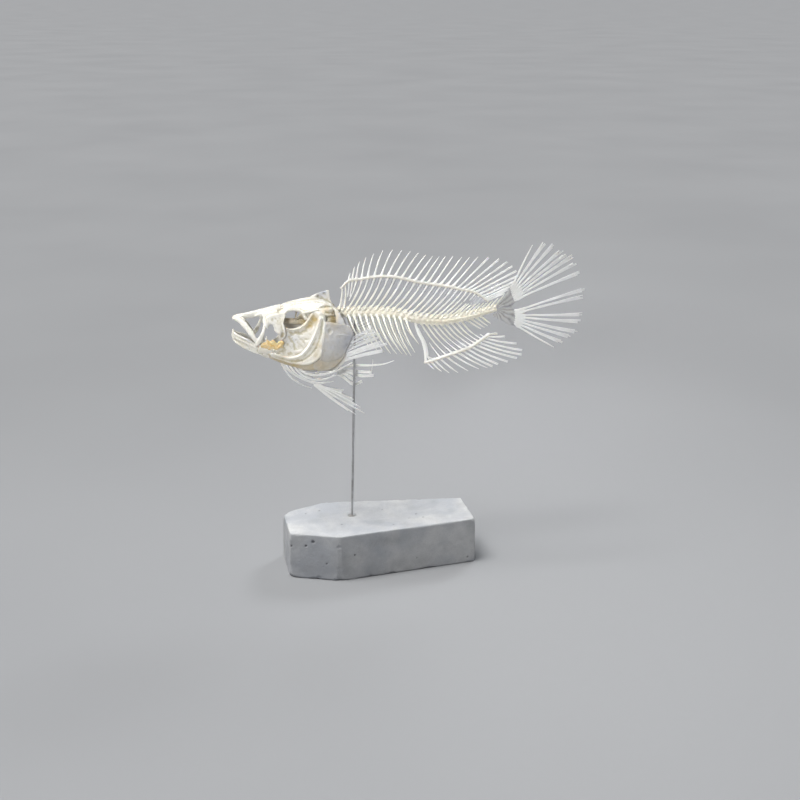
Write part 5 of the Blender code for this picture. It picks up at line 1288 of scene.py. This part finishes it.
def make_dorsal_fin():
    fin, skin, soft = Shape(), Shape(), []
    xs = [float(smooth(DORSAL_X, n)) for n in range(1, DORSAL_RAYS + 1)]
    fin_ridge(fin, DORSAL_RIDGE, DORSAL_FRONT, xs, DORSAL_BAR, 0.28)
    for n in range(1, DORSAL_RAYS + 1):
        root = ridge_place(DORSAL_RIDGE, xs[n - 1])
        ray = leaning(root, smooth(DORSAL_LENGTH, n), smooth(DORSAL_ANGLE, n), smooth(DORSAL_BEND, n))
        ray[:, 1] += smooth(DORSAL_DRIFT, n) * np.linspace(0, 1, len(ray))
        fin_ray(fin, root, ray, DORSAL_SPINE if n <= DORSAL_SPINES else None, ([2.0, 1.3], [1.6, 0.8]))
        if n > DORSAL_SPINES:
            soft.append(ray)
        line = {1: 1.15, 2: 1.32}.get(n, n - 1.86)
        reach = 0.45 if n < 3 else 0.30 + 0.085 * max(0, n - 18)
        if reach >= 0.86:
            continue
        strut = fan_line(column_edge(line, 1), root - arr((0, 0, 0.8)), np.linspace(1, reach, 16), NEURAL_BOW)
        tube(fin, strut, *DORSAL_STRUT, grain=0.10)
        if n > 2:
            wide = min(0.42 * abs(xs[n - 1] - xs[n - 2]), 1.7)
            webs(skin, strut, 8 if n < 12 else 12, arr([1.0, 0.95, 0.7, 0.5, 0.3]) * wide)
    low, front, back = arr(DORSAL_GUSSET)
    s, t = np.meshgrid(np.linspace(0, 1, 12), np.linspace(0, 1, 12), indexing="ij")
    grid = low + (front - low) * s[..., None] + (back - front) * (s * t)[..., None]
    sheet(skin, grid[1:], 0.3, edge=0.6)
    fin_skin(skin, soft[4:], 0.6)
    fin_skin(skin, [neural_path(0), neural_path(1)], 0.9)
    piece("dorsal_fin_bones", fin, RAY, "cream_bone", "dorsal_fin", stain=ridge_stain(fin, DORSAL_RIDGE))
    piece("dorsal_webs", skin, DORSAL_WEB, "cream_bone")


def make_anal_fin():
    fin, skin = Shape(), Shape()
    xs = [float(smooth(ANAL_X, n)) for n in range(1, ANAL_RAYS + 1)]
    fin_ridge(fin, ANAL_RIDGE, ANAL_FRONT, xs, ANAL_BAR, 0.4)
    for n in range(1, ANAL_RAYS + 1):
        root = ridge_place(ANAL_RIDGE, xs[n - 1])
        ray = leaning(root, smooth(ANAL_LENGTH, n), smooth(ANAL_ANGLE, n), 6)
        fin_ray(fin, root, ray, ANAL_SPINE if n <= ANAL_SPINES else None, ([1.9, 1.3], [1.5, 0.8]))
        if n == 1:
            tube(fin, along(upright(ANAL_STRUT), 24), *GREAT_STRUT, grain=0.14, sides=14)
        elif n < 4:
            strut = along(upright(arr(ANAL_STRUT) + (0.5 * n, -0.2 * n)), 24)[3:12 + 3 * n]
            tube(fin, np.concatenate([[root], strut]), [0.9, 0.7, 0.5], [0.6, 0.5, 0.4], grain=0.1)
        elif n <= 14:
            line = np.interp(n, *zip(*ANAL_LINES))
            start, end = column_edge(line, -1), root + arr((0, 0, 0.8))
            strut = fan_line(start, end, np.linspace(1, smooth(ANAL_REACH, n), 14), HAEMAL_BOW)
            tube(fin, strut, [1.4, 0.95, 0.8, 0.75, 0.65, 0.4], [1.0, 0.7, 0.6, 0.5, 0.45, 0.35], grain=0.10)
            webs(skin, strut, 9, arr([1.0, 0.9, 0.6, 0.3]) * min(0.4 * abs(xs[n - 1] - xs[n - 2]), 1.4))
    piece("anal_fin_bones", fin, RAY, "cream_bone", "anal_fin", stain=ridge_stain(fin, ANAL_RIDGE))
    piece("anal_webs", skin, ANAL_WEB, "cream_bone")


# Tail


def caudal_half(name, base, angles, lengths, outermost):
    bar = along(upright(base), 2 * CAUDAL_RAYS)
    fin = Shape()
    bone(fin, bar, 2.0, [1.7, 1.6, 1.7], count=40, grain=0.3, sides=14)
    for n in range(1, CAUDAL_RAYS + 1):
        foot = (bar[2 * n - 2] + bar[2 * n - 1]) / 2
        path = leaning(foot, smooth(lengths, n) + 0.9, smooth(angles, n), 2, 22)
        if n == outermost:
            tube(fin, path, [1.6, 1.3, 1.3, 1.2, 1.0, 0.7], [1.0, 0.8, 0.7, 0.6, 0.5, 0.35], grain=0.08)
        else:
            split_ray(fin, path, 1.4, 0.8, 0.3 + 0.1 * math.sin(2.3 * n), 0.40, twice=True)
        inward = unit(foot - upright(TAIL_ROOT))
        for side in (-1, 1):
            head = [foot - 3.0 * inward + (0, 0.55 * side, 0), foot - 1.2 * inward + (0, 0.6 * side, 0), path[3]]
            bone(fin, head, [1.1, 2.1, 1.3], [0.6, 1.1, 0.6], count=12, grain=0.2)
    reach = np.linalg.norm(fin.points - bar.mean(axis=0), axis=1)
    piece(name + "_rays", fin, RAY, "ivory_bone", name, clear=0.02 + 0.2 * np.clip(reach / 42, 0, 1) ** 2)


def hypural(name, outline):
    def fan(points):
        angle = np.arctan2(points[:, 2] - TAIL_ROOT[1], points[:, 0] - TAIL_ROOT[0])
        return np.cos(angle * 22 + 1.2 * noise(points, 4.0, 62))

    blade = Shape()
    slab(blade, outline, 0.9)
    blade = fused(blade, 0.28, 2, lambda points: 0.14 * fan(points) + 0.08 * noise(points, 1.0, 61))
    mottled = np.clip(0.9 * noise(blade.points, 2.2, 63) + 0.5 * noise(blade.points, 0.9, 64), 0, 1)
    ribbed = fan(blade.points)
    piece(name + "_plate", blade, CLEAR, "clear_bone", name, clear=0.30 - 0.30 * ribbed,
          dark=0.30 * mottled + 0.20 * np.clip(-ribbed, 0, 1))


def make_tail():
    hypural("hypural_upper", UPPER_HYPURAL)
    hypural("hypural_lower", LOWER_HYPURAL)
    caudal_half("caudal_upper", UPPER_RAY_BASE, CAUDAL_UPPER_ANGLE, CAUDAL_UPPER_LENGTH, 1)
    caudal_half("caudal_lower", LOWER_RAY_BASE, CAUDAL_LOWER_ANGLE, CAUDAL_LOWER_LENGTH, CAUDAL_RAYS)


# Skull


def skull_relief(points):
    level = folded(points)
    gain = 0.16 * noise(points, 2.2, 71) + 0.07 * noise(points, 0.9, 72) - 0.12 * pores(points, 1.2)
    for centre, radius, depth in SKULL_HOLLOWS:
        gain = gain - depth * bump(np.linalg.norm(level - centre, axis=1), 0, radius)
    crest = bump(level[:, 1], 0, 1.2) * bump(level[:, 2], 189.5, 3.0) * bump(level[:, 0], -35, 6)
    fan = np.arctan2(level[:, 2] - 181.0, level[:, 0] + 29.0)
    return gain + crest * (0.05 * np.cos(34 * fan + 3 * noise(points, 3, 73)) + 0.08 * noise(points, 0.8, 74))


def make_skull():
    skull = Shape()
    keys = arr(SKULL_SECTIONS)
    rings = []
    for x in np.arange(keys[0, 0], keys[-1, 0] + 0.01, 0.4):
        _, half, low, middle, shoulder, top = (np.interp(x, keys[:, 0], keys[:, k]) for k in range(6))
        right = [(0.3 * half, low), (half, middle), (0.72 * half, shoulder), (0.22 * half, top)]
        loop = closed_curve(right + [(-s, z) for s, z in reversed(right)], 48)
        rings.append([(x, s, z) for s, z in loop])
    rings = arr(rings)
    skull.rings(rings, rings[[0, -1]].mean(axis=1))
    slab(skull, CREST, 1.1)
    for points, wide, thick, count in SKULL_KEELS:
        bone(skull, upright(points), wide, thick, count=count)
    for side, _ in SIDES:
        bones(skull, side, *((*ridge, (0, 0, 1), 26, 10, 0.12) for ridge in SKULL_RIDGES))
        for centre, radii in SKULL_DOMES:
            ball(skull, mirrored(centre, side), radii)
    piece("braincase", fused(skull, 0.33, 5, skull_relief), IVORY, "ivory_bone", "neurocranium", porous=0.12)


# Jaws and face


def teeth(shape, line, side, length, down, count):
    """A row of small pointed teeth along line."""
    for k, root in enumerate(along(mirrored(line, side), count)):
        size = length * (0.6 + 0.4 * math.sin(1.7 * k + 1.0) ** 2)
        lean = unit(arr((0.35 * math.sin(2.1 * k), -0.2 * side, down)))
        girth = [0.36, 0.34, 0.28, 0.2, 0.1]
        tube(shape, root + np.outer(np.linspace(-0.4, size, 6), lean), girth, girth, (1, 0, 0), 7, 0.0, (1, 0.6))


def grown(shape, large, small, size, seed):
    """The bones of a jaw, grown together and uneven."""
    return fused(shape, 0.3, 4, lambda p: large * noise(p, size, seed) + 0.05 * noise(p, small, seed + 1))


def jaw_blade(shape, side):
    """The side plate of the lower jaw, between its two edges, with its outer face where the solid has it."""
    rows, columns, thick = 90, 34, 1.5
    s, t = np.meshgrid(np.linspace(0, 1, rows), np.linspace(0, 1, columns), indexing="ij")
    top, low = (along(mirrored(edge, side), rows)[:, None] for edge in (JAW_TOP, arr(JAW_LOW) - (0, 0, 0.7)))
    grid = top + (low - top) * t[..., None]
    grid[..., 1] += side * (0.5 * np.sin(np.pi * t) * (0.35 + 0.65 * np.sin(np.pi * s)) - thick / 2)
    for axis, seed in ((0, 11), (2, 12)):
        grid[..., axis] += 0.15 * noise(grid, 2.4, seed)
    outer = 0.35 * bump(t, 0.06, 0.10) + 0.40 * bump(t, 0.92, 0.14) + 0.22 * bump(t, 0.50 - 0.2 * s, 0.08)
    outer = outer - 0.30 * bump(s, 0, 0.35) * bump(t, 0.62, 0.2) - 0.35 * (pores(grid, 1.3) * bump(t, 0.6, 0.3))
    sheet(shape, grid, thick, side, 0.9, outer, 0.2)


# Bones of the jaws: points, breadths, thicknesses, the direction of the breadth, and how many rings and corners
PREMAXILLA_BONES = [
    (PREMAXILLA_ARM, [2.4, 3.6, 4, 3.6, 3, 1.8], [1.5, 2, 1.9, 1.6, 1.4, 1.1], (1, 0, 0.6), 30, 16),
    (arr(PREMAXILLA_BACK) - (0, 0, 0.25), [2.4, 3.7, 4.3, 4, 2.2], [1.9, 2, 2, 1.8, 1.4], (0, 0, 1), 24, 14),
    ([(-93.4, -1.9, 177.4), (-90, -2.6, 177.2), (-87.4, -3.6, 175.6)], [2.8, 4.2, 2.2], [1.4, 1.6, 1.1],
     (0, 0, 1), 14),
    ([(-93.8, -1.4, 177.8), (-94.9, -1.5, 176.4)], [1.8, 0.7], [1.4, 0.7], (1, 0, 0), 8)
]
MAXILLA_BONES = [
    (MAXILLA, [1.8, 2.6, 2.3, 2.3, 2.9, 3.5, 1.8], [1.2, 1.5, 1.4, 1.2, 1.2, 1.2, 0.9], (1, 0, 0), 30, 16),
    ([(-74.4, -6.6, 178.8), (-75.6, -3.6, 178.4)], [2.6, 2], [2.2, 1.6], (0, 0, 1), 10)
]
LOWER_JAW_BONES = [
    (CORONOID, [3, 1.7, 0.7], [1.1, 0.9, 0.6], (1, 0, 0), 14),
    ([(-79, -10.2, 157.8), (-74, -10.6, 156.6), (-70.6, -10.8, 156.6)], [4.6, 4.4, 3], [1.6, 2, 1.6], (0, 0, 1), 14),
    ([(-76, -10.4, 154.6), (-73.6, -10.4, 152.9)], [3, 1.6], [1.8, 1.2], (1, 0, 0), 8)
]


def make_jaws(side, word):
    upper = Shape()
    bones(upper, side, *PREMAXILLA_BONES)
    upper = grown(upper, 0.12, 0.8, 1.8, 81)
    teeth(upper, UPPER_GUM, side, 0.55, -1, 8)
    piece("premaxilla_bone_" + word, upper, IVORY, "ivory_bone", "premaxilla_" + word)

    maxilla = Shape()
    bones(maxilla, side, *MAXILLA_BONES)
    piece("maxilla_bone_" + word, grown(maxilla, 0.12, 0.7, 1.6, 83), IVORY, "ivory_bone", "maxilla_" + word)

    lower = Shape()
    jaw_blade(lower, side)
    bones(lower, side, *LOWER_JAW_BONES)
    lower = grown(lower, 0.10, 0.7, 1.6, 85)
    teeth(lower, LOWER_GUM, side, 0.42, 1, 7)
    piece("lower_jaw_bone_" + word, lower, IVORY, "ivory_bone", "lower_jaw_" + word, porous=0.1)

    def face(places):
        return strokes(places, *LACHRYMAL_STROKES) + rough(places, side, 87, 0.12) - 0.2 * pores(upright(places), 1.5)

    cheekbone = Shape()
    plate(cheekbone, LACHRYMAL_OUTLINE, side, wall(LACHRYMAL_FRONT, LACHRYMAL_BACK), 0.8, face)
    bones(cheekbone, side, ([(-73.0, -6.6, 178.6), (-69.0, -7.4, 179.6), (-63.4, -8.6, 180.2)], [1.6, 2.2, 1.8],
                            [4.6, 3.6, 2.2], (0, 0, 1), 16))
    piece("lachrymal_bone_" + word, cheekbone, IVORY, "ivory_bone", "lachrymal_" + word, porous=0.12)


# Gill cover


def cheek_relief(places):
    inner = bump(np.linalg.norm((places - (-56.0, 163.0)) / (1.5, 1.0), axis=1), 0, 6.5)
    return strokes(places, *CHEEK_STROKES) - 0.45 * inner * pores(upright(places), 1.1)


def guard_relief(places):
    gain = strokes(places, *GUARD_STROKES)
    for spot in along(GUARD_CANAL, 9)[1:-1]:
        gain -= 0.45 * bump(np.linalg.norm(places - spot, axis=1), 0, 0.55)
    return gain


def opercle_relief(places):
    angle = np.arctan2(places[:, 1] - 173.6, places[:, 0] + 37.0)
    disc = np.linalg.norm(places - (-30.2, 161.2), axis=1)
    gain = 0.035 * np.cos(46 * angle + 2 * noise(upright(places), 3.0, 93)) + 0.13 / (1 + np.exp((disc - 7.3) * 1.8))
    ring = np.linalg.norm((places - (-33.6, 169.2)) / (1.0, 1.25), axis=1)
    return gain + strokes(places, *OPERCLE_STROKES) + 0.2 * bump(ring, 1.9, 0.5) - 0.25 * bump(ring, 0, 1.2)


def subopercle_relief(places):
    return 0.25 * bump(np.linalg.norm(places - (-41.4, 147.0), axis=1), 2.4, 0.5)


def interopercle_relief(places):
    return strokes(places, *INTEROPERCLE_STROKES)


# Bone, its piece, outline, edges, thickness, relief, the seed and height of its roughness, look, slot and paint
GILL_COVER = [
    ("cheek", "bones", CHEEK_OUTLINE, (CHEEK_TOP, CHEEK_LOW, CHEEK_INNER), 0.9, cheek_relief, 91, 0.16,
     IVORY, "ivory_bone", {"clear": 0.10, "porous": 0.16}),
    ("preopercle", "bone", PREOPERCLE_OUTLINE, (PREOPERCLE_IN, PREOPERCLE_OUT), 0.9, guard_relief, 92, 0.09,
     IVORY, "ivory_bone", {}),
    ("opercle", "bone", OPERCLE_OUTLINE, (OPERCLE_FRONT, OPERCLE_BACK, OPERCLE_BULGE), 0.6, opercle_relief, 93, 0.10,
     CLEAR, "clear_bone", {"porous": 0.08}),
    ("subopercle", "bone", SUBOPERCLE_OUTLINE, (SUBOPERCLE_TOP, SUBOPERCLE_LOW, SUBOPERCLE_INNER), 0.55,
     subopercle_relief, 94, 0.12, CLEAR, "clear_bone", {"stain": 0.12}),
    # The interopercle's overall stain and dark are partly its brown colour and partly painted shade, for the shade on
    # its down-turned face.
    ("interopercle", "bone", INTEROPERCLE_OUTLINE, (INTEROPERCLE_TOP, INTEROPERCLE_LOW, INTEROPERCLE_INNER), 0.6,
     interopercle_relief, 95, 0.12, IVORY, "ivory_bone", {"clear": 0.3, "stain": 0.5, "dark": 0.14}),
]


def make_gill_cover(side, word):
    for name, kind, outline, edges, thick, relief, seed, uneven, look, slot, paint in GILL_COVER:
        made = Shape()
        plate(made, outline, side, wall(*edges), thick, lambda at: relief(at) + rough(at, side, seed, uneven))
        piece(name + "_" + kind + "_" + word, made, look, slot, name + "_" + word, **paint)


def make_hyoid(side, word):
    bar = along(mirrored(HYOID_BAR, side), 2 * len(BRANCHIOSTEGALS) + 2)
    hyoid = Shape()
    bone(hyoid, bar, [2.6, 3.0, 3.0], [1.5, 1.6, 1.5], (0, 0, 1), 30, 14)
    paths = []
    for k, ray in enumerate(BRANCHIOSTEGALS):
        paths.append(along([(bar[2 * k + 1] + bar[2 * k + 2]) / 2, *mirrored(ray, side)], 30))
        wide = (1.0 + 0.12 * k) * arr([1.2, 1.25, 1.3, 1.3, 1.2, 0.95, 0.5])
        bone(hyoid, paths[-1], wide, [0.8, 0.75, 0.7, 0.65, 0.6, 0.4], None, 30, 10)
    piece("hyoid_bones_" + word, hyoid, RAY, "ivory_bone", "hyoid_" + word, clear=0.06)
    if word == "left":
        skin = Shape()
        for k, stop in ((1, 14), (2, 18), (3, 17)):
            skin_between(skin, paths[k][3:stop], paths[k + 1][3:stop], 10, (0.25, 2.0, 96), 0.2, edge=0.3)
        piece("branchiostegal_skin", skin, GILL_SKIN, "clear_bone")


# Paired fins and their girdles


def make_pectoral(side, word):
    girdle = Shape()
    wide, thick = [1.6, 2.6, 3.6, 3.4, 3.6, 3.8, 3.6, 2], [1.2, 1.2, 1.2, 1.1, 1.1, 1.1, 1.2, 1.2]
    bones(girdle, side, (CLEITHRUM, wide, thick, (1, 0, 0), 50, 16))
    plate(girdle, CORACOID_OUTLINE, side, wall(CORACOID_WALL), 1.0)
    bones(girdle, side, (SUPRACLEITHRUM, [1.6, 3.0, 3.8, 4.0, 2.4], [1.4, 1.2, 1.2, 1.1, 0.9], (1, 0, 0), 30, 16))
    girdle = fused(girdle, 0.32, 3, lambda p: 0.12 * noise(p, 1.8, 101) - 0.15 * pores(p, 1.1))
    name = "pectoral_girdle_"
    piece(name + "bones_" + word, girdle, IVORY, "ivory_bone", name + word, clear=0.3, porous=0.2)

    fin = Shape()
    bar = along(mirrored(PECTORAL_BASE, side), PECTORAL_RAYS + 1)
    bone(fin, bar, [1.5, 1.5], [1.2, 1.2], (1, 0, 0), 26, 10, 0.12)
    clear = [0.06] * len(fin.points)
    t = np.linspace(0, 1, 18)
    for n in range(PECTORAL_RAYS):
        foot = (bar[n] + bar[n + 1]) / 2 + (0.5, 0, 0)
        angle = math.radians(smooth(PECTORAL_ANGLE, n) + 1.5 * math.sin(2.4 * n))
        length = smooth(PECTORAL_LENGTH, n) * (1 - 0.10 * math.sin(1.7 * n) ** 2)
        reach = arr((math.cos(angle) * length, -side * PECTORAL_SPLAY, math.sin(angle) * length))
        path = foot + reach * t[:, None] + np.stack([0 * t, 0 * t, 0.5 * np.sin(np.pi * t)], -1)
        wide = smooth(PECTORAL_BREADTH, n) * (1 + 0.25 * math.sin(3.1 * n))
        split_ray(fin, path, wide, 0.6, 0.4 + 0.25 * math.sin(1.9 * n) ** 2, 0.15, 7)
        clear += [0.35 * (1 - n / PECTORAL_RAYS) + 0.12 * math.sin(2.7 * n) ** 2] * (len(fin.points) - len(clear))
    piece("pectoral_fin_rays_" + word, fin, RAY, "ivory_bone", "pectoral_fin_" + word, clear=arr(clear))


def left_pelvic_side(x):
    return -4.6 - 0.05 * (x + 43.0)


def make_pelvic():
    for word, points, wide, towards in PELVIC_GIRDLES:
        girdle = Shape()
        bone(girdle, points, wide, [1.0, 1.2, 1.2], towards, 16, 14, 0.1)
        piece("pelvic_girdle_bone_" + word, girdle, IVORY, "ivory_bone", "pelvic_girdle_" + word, clear=0.1)

    left = Shape()
    slab(left, LEFT_PELVIC_OUTLINE, 0.45, left_pelvic_side)
    for ray, wide in LEFT_PELVIC_RAYS:
        bone(left, [(x, left_pelvic_side(x) - 0.1, z) for x, z in ray], [1.7, wide, wide, 0.85 * wide, 0.5],
             [1.3, 1.2, 1.1, 0.9, 0.5], None, 26, 8, 0.08)
    left = fused(left, 0.24, 1, lambda points: 0.06 * noise(points, 1.2, 111))
    off_rays = nearest(left.points[:, [0, 2]], np.concatenate([along(ray, 60) for ray, _ in LEFT_PELVIC_RAYS]))
    clear = 0.4 * np.clip((off_rays - 0.3) / 0.5, 0, 1)
    piece("pelvic_fin_rays_left", left, RAY, "ivory_bone", "pelvic_fin_left", clear=clear)

    right = Shape()
    bar = along(RIGHT_PELVIC_BASE, 2 * len(RIGHT_PELVIC_RAYS))
    bone(right, bar, 1.4, 1.3, (1, 0, 0), 12)
    for k, ray in enumerate(RIGHT_PELVIC_RAYS):
        path = along([(bar[2 * k] + bar[2 * k + 1]) / 2, *arr(ray)], 24)
        if k == 0:
            tube(right, path, [1.8, 1.7, 1.7, 1.6, 1.4, 1.2, 0.8, 0.4], [1.2, 1.0, 0.8, 0.7, 0.5, 0.35], grain=0.06)
        else:
            split_ray(right, path, 1.9, 0.9, 0.5, 0.06)
    tube(right, along(RIGHT_PELVIC_HAIR, 30), 0.28, 0.28, (1, 0, 0), 6, 0.1)
    piece("pelvic_fin_rays_right", right, RAY, "ivory_bone", "pelvic_fin_right")


def make_jaw_tissue():
    def folds(places):
        fan = np.arctan2(places[:, 1] - 157.0, places[:, 0] + 71.0)
        return 0.10 * np.cos(22 * fan + 5 * noise(upright(places), 1.6, 121)) + rough(places, -1, 122, 0.4)

    lump = Shape()
    plate(lump, TISSUE_OUTLINE, -1, wall(TISSUE_WALL), 1.0, folds, 1.8, 0.35, 0.4)
    piece("dried_jaw_tissue", lump, TISSUE, "dried_tissue", "jaw_tissue")


# Studio


def make_floor():
    look = Look("pale floor")
    soft = look.noise(3.0, 4, 0.5)
    colour = look.mix(look.fit(soft, 0.3, 0.7), (0.292, 0.298, 0.310), (0.304, 0.310, 0.322))
    look.shade(colour, soft, (0.55, 0.65), look.noise(900, 3), 0.0001, 0.1)
    mesh = bpy.data.meshes.new("floor")
    corners = [(x * FLOOR_REACH, y * FLOOR_REACH, 0) for x, y in ((-1, -1), (1, -1), (1, 1), (-1, 1))]
    mesh.from_pydata(corners, [], [(0, 1, 2, 3)])
    mesh.materials.append(look.made)
    floor = bpy.data.objects.new("floor", mesh)
    bpy.context.scene.collection.objects.link(floor)


def make_camera():
    ahead, up = Vector(CAMERA_AHEAD), Vector(CAMERA_UP)
    data = bpy.data.cameras.new("camera")
    data.lens, data.sensor_width, data.clip_start, data.clip_end = 58.5, 36.0, 0.05, 200.0
    camera = bpy.data.objects.new("camera", data)
    turned = Matrix((ahead.cross(up), up, -ahead)).transposed().to_4x4()
    camera.matrix_world = Matrix.Translation(Vector(CAMERA_PLACE) * MM) @ turned
    bpy.context.scene.collection.objects.link(camera)
    bpy.context.scene.camera = camera


def light(name, kind, energy, place, aim, colour, **settings):
    data = bpy.data.lights.new(name, kind)
    data.energy, data.color = energy, colour
    for key, value in settings.items():
        setattr(data, key, value)
    made = bpy.data.objects.new(name, data)
    made.location = place
    made.rotation_mode = "QUATERNION"
    made.rotation_quaternion = (Vector(aim) - Vector(place)).to_track_quat("-Z", "Y")
    bpy.context.scene.collection.objects.link(made)


def make_lights():
    light("key", "SUN", 3.85, (-0.36, -0.04, 1.1), (0.0, 0.0, 0.13), (1.0, 0.99, 0.97), angle=math.radians(32))
    light("front", "AREA", 0.114, (-0.60, -1.30, 0.62), (0.03, 0.0, 0.166), (0.985, 0.99, 1.0),
          shape="ELLIPSE", size=0.30, size_y=0.15, spread=math.radians(11))
    light("rim", "AREA", 0.4, (0.75, 0.75, 0.95), (0.02, 0.0, 0.20), (0.96, 0.98, 1.0),
          shape="ELLIPSE", size=0.5, size_y=0.5, spread=math.radians(40))
    world = bpy.data.worlds.new("studio")
    bpy.context.scene.world = world
    world.use_nodes = True
    back = world.node_tree.nodes["Background"]
    back.inputs["Color"].default_value = (0.88, 0.91, 0.96, 1.0)
    back.inputs["Strength"].default_value = 0.22
    bpy.context.scene.view_settings.view_transform = "Standard"


make_base()
make_rod()
make_backbone()
make_ribs()
make_dorsal_fin()
make_anal_fin()
make_tail()
make_skull()
for which, name_of_side in SIDES:
    make_jaws(which, name_of_side)
    make_gill_cover(which, name_of_side)
    make_hyoid(which, name_of_side)
    make_pectoral(which, name_of_side)
make_pelvic()
make_jaw_tissue()
make_floor()
make_camera()
make_lights()
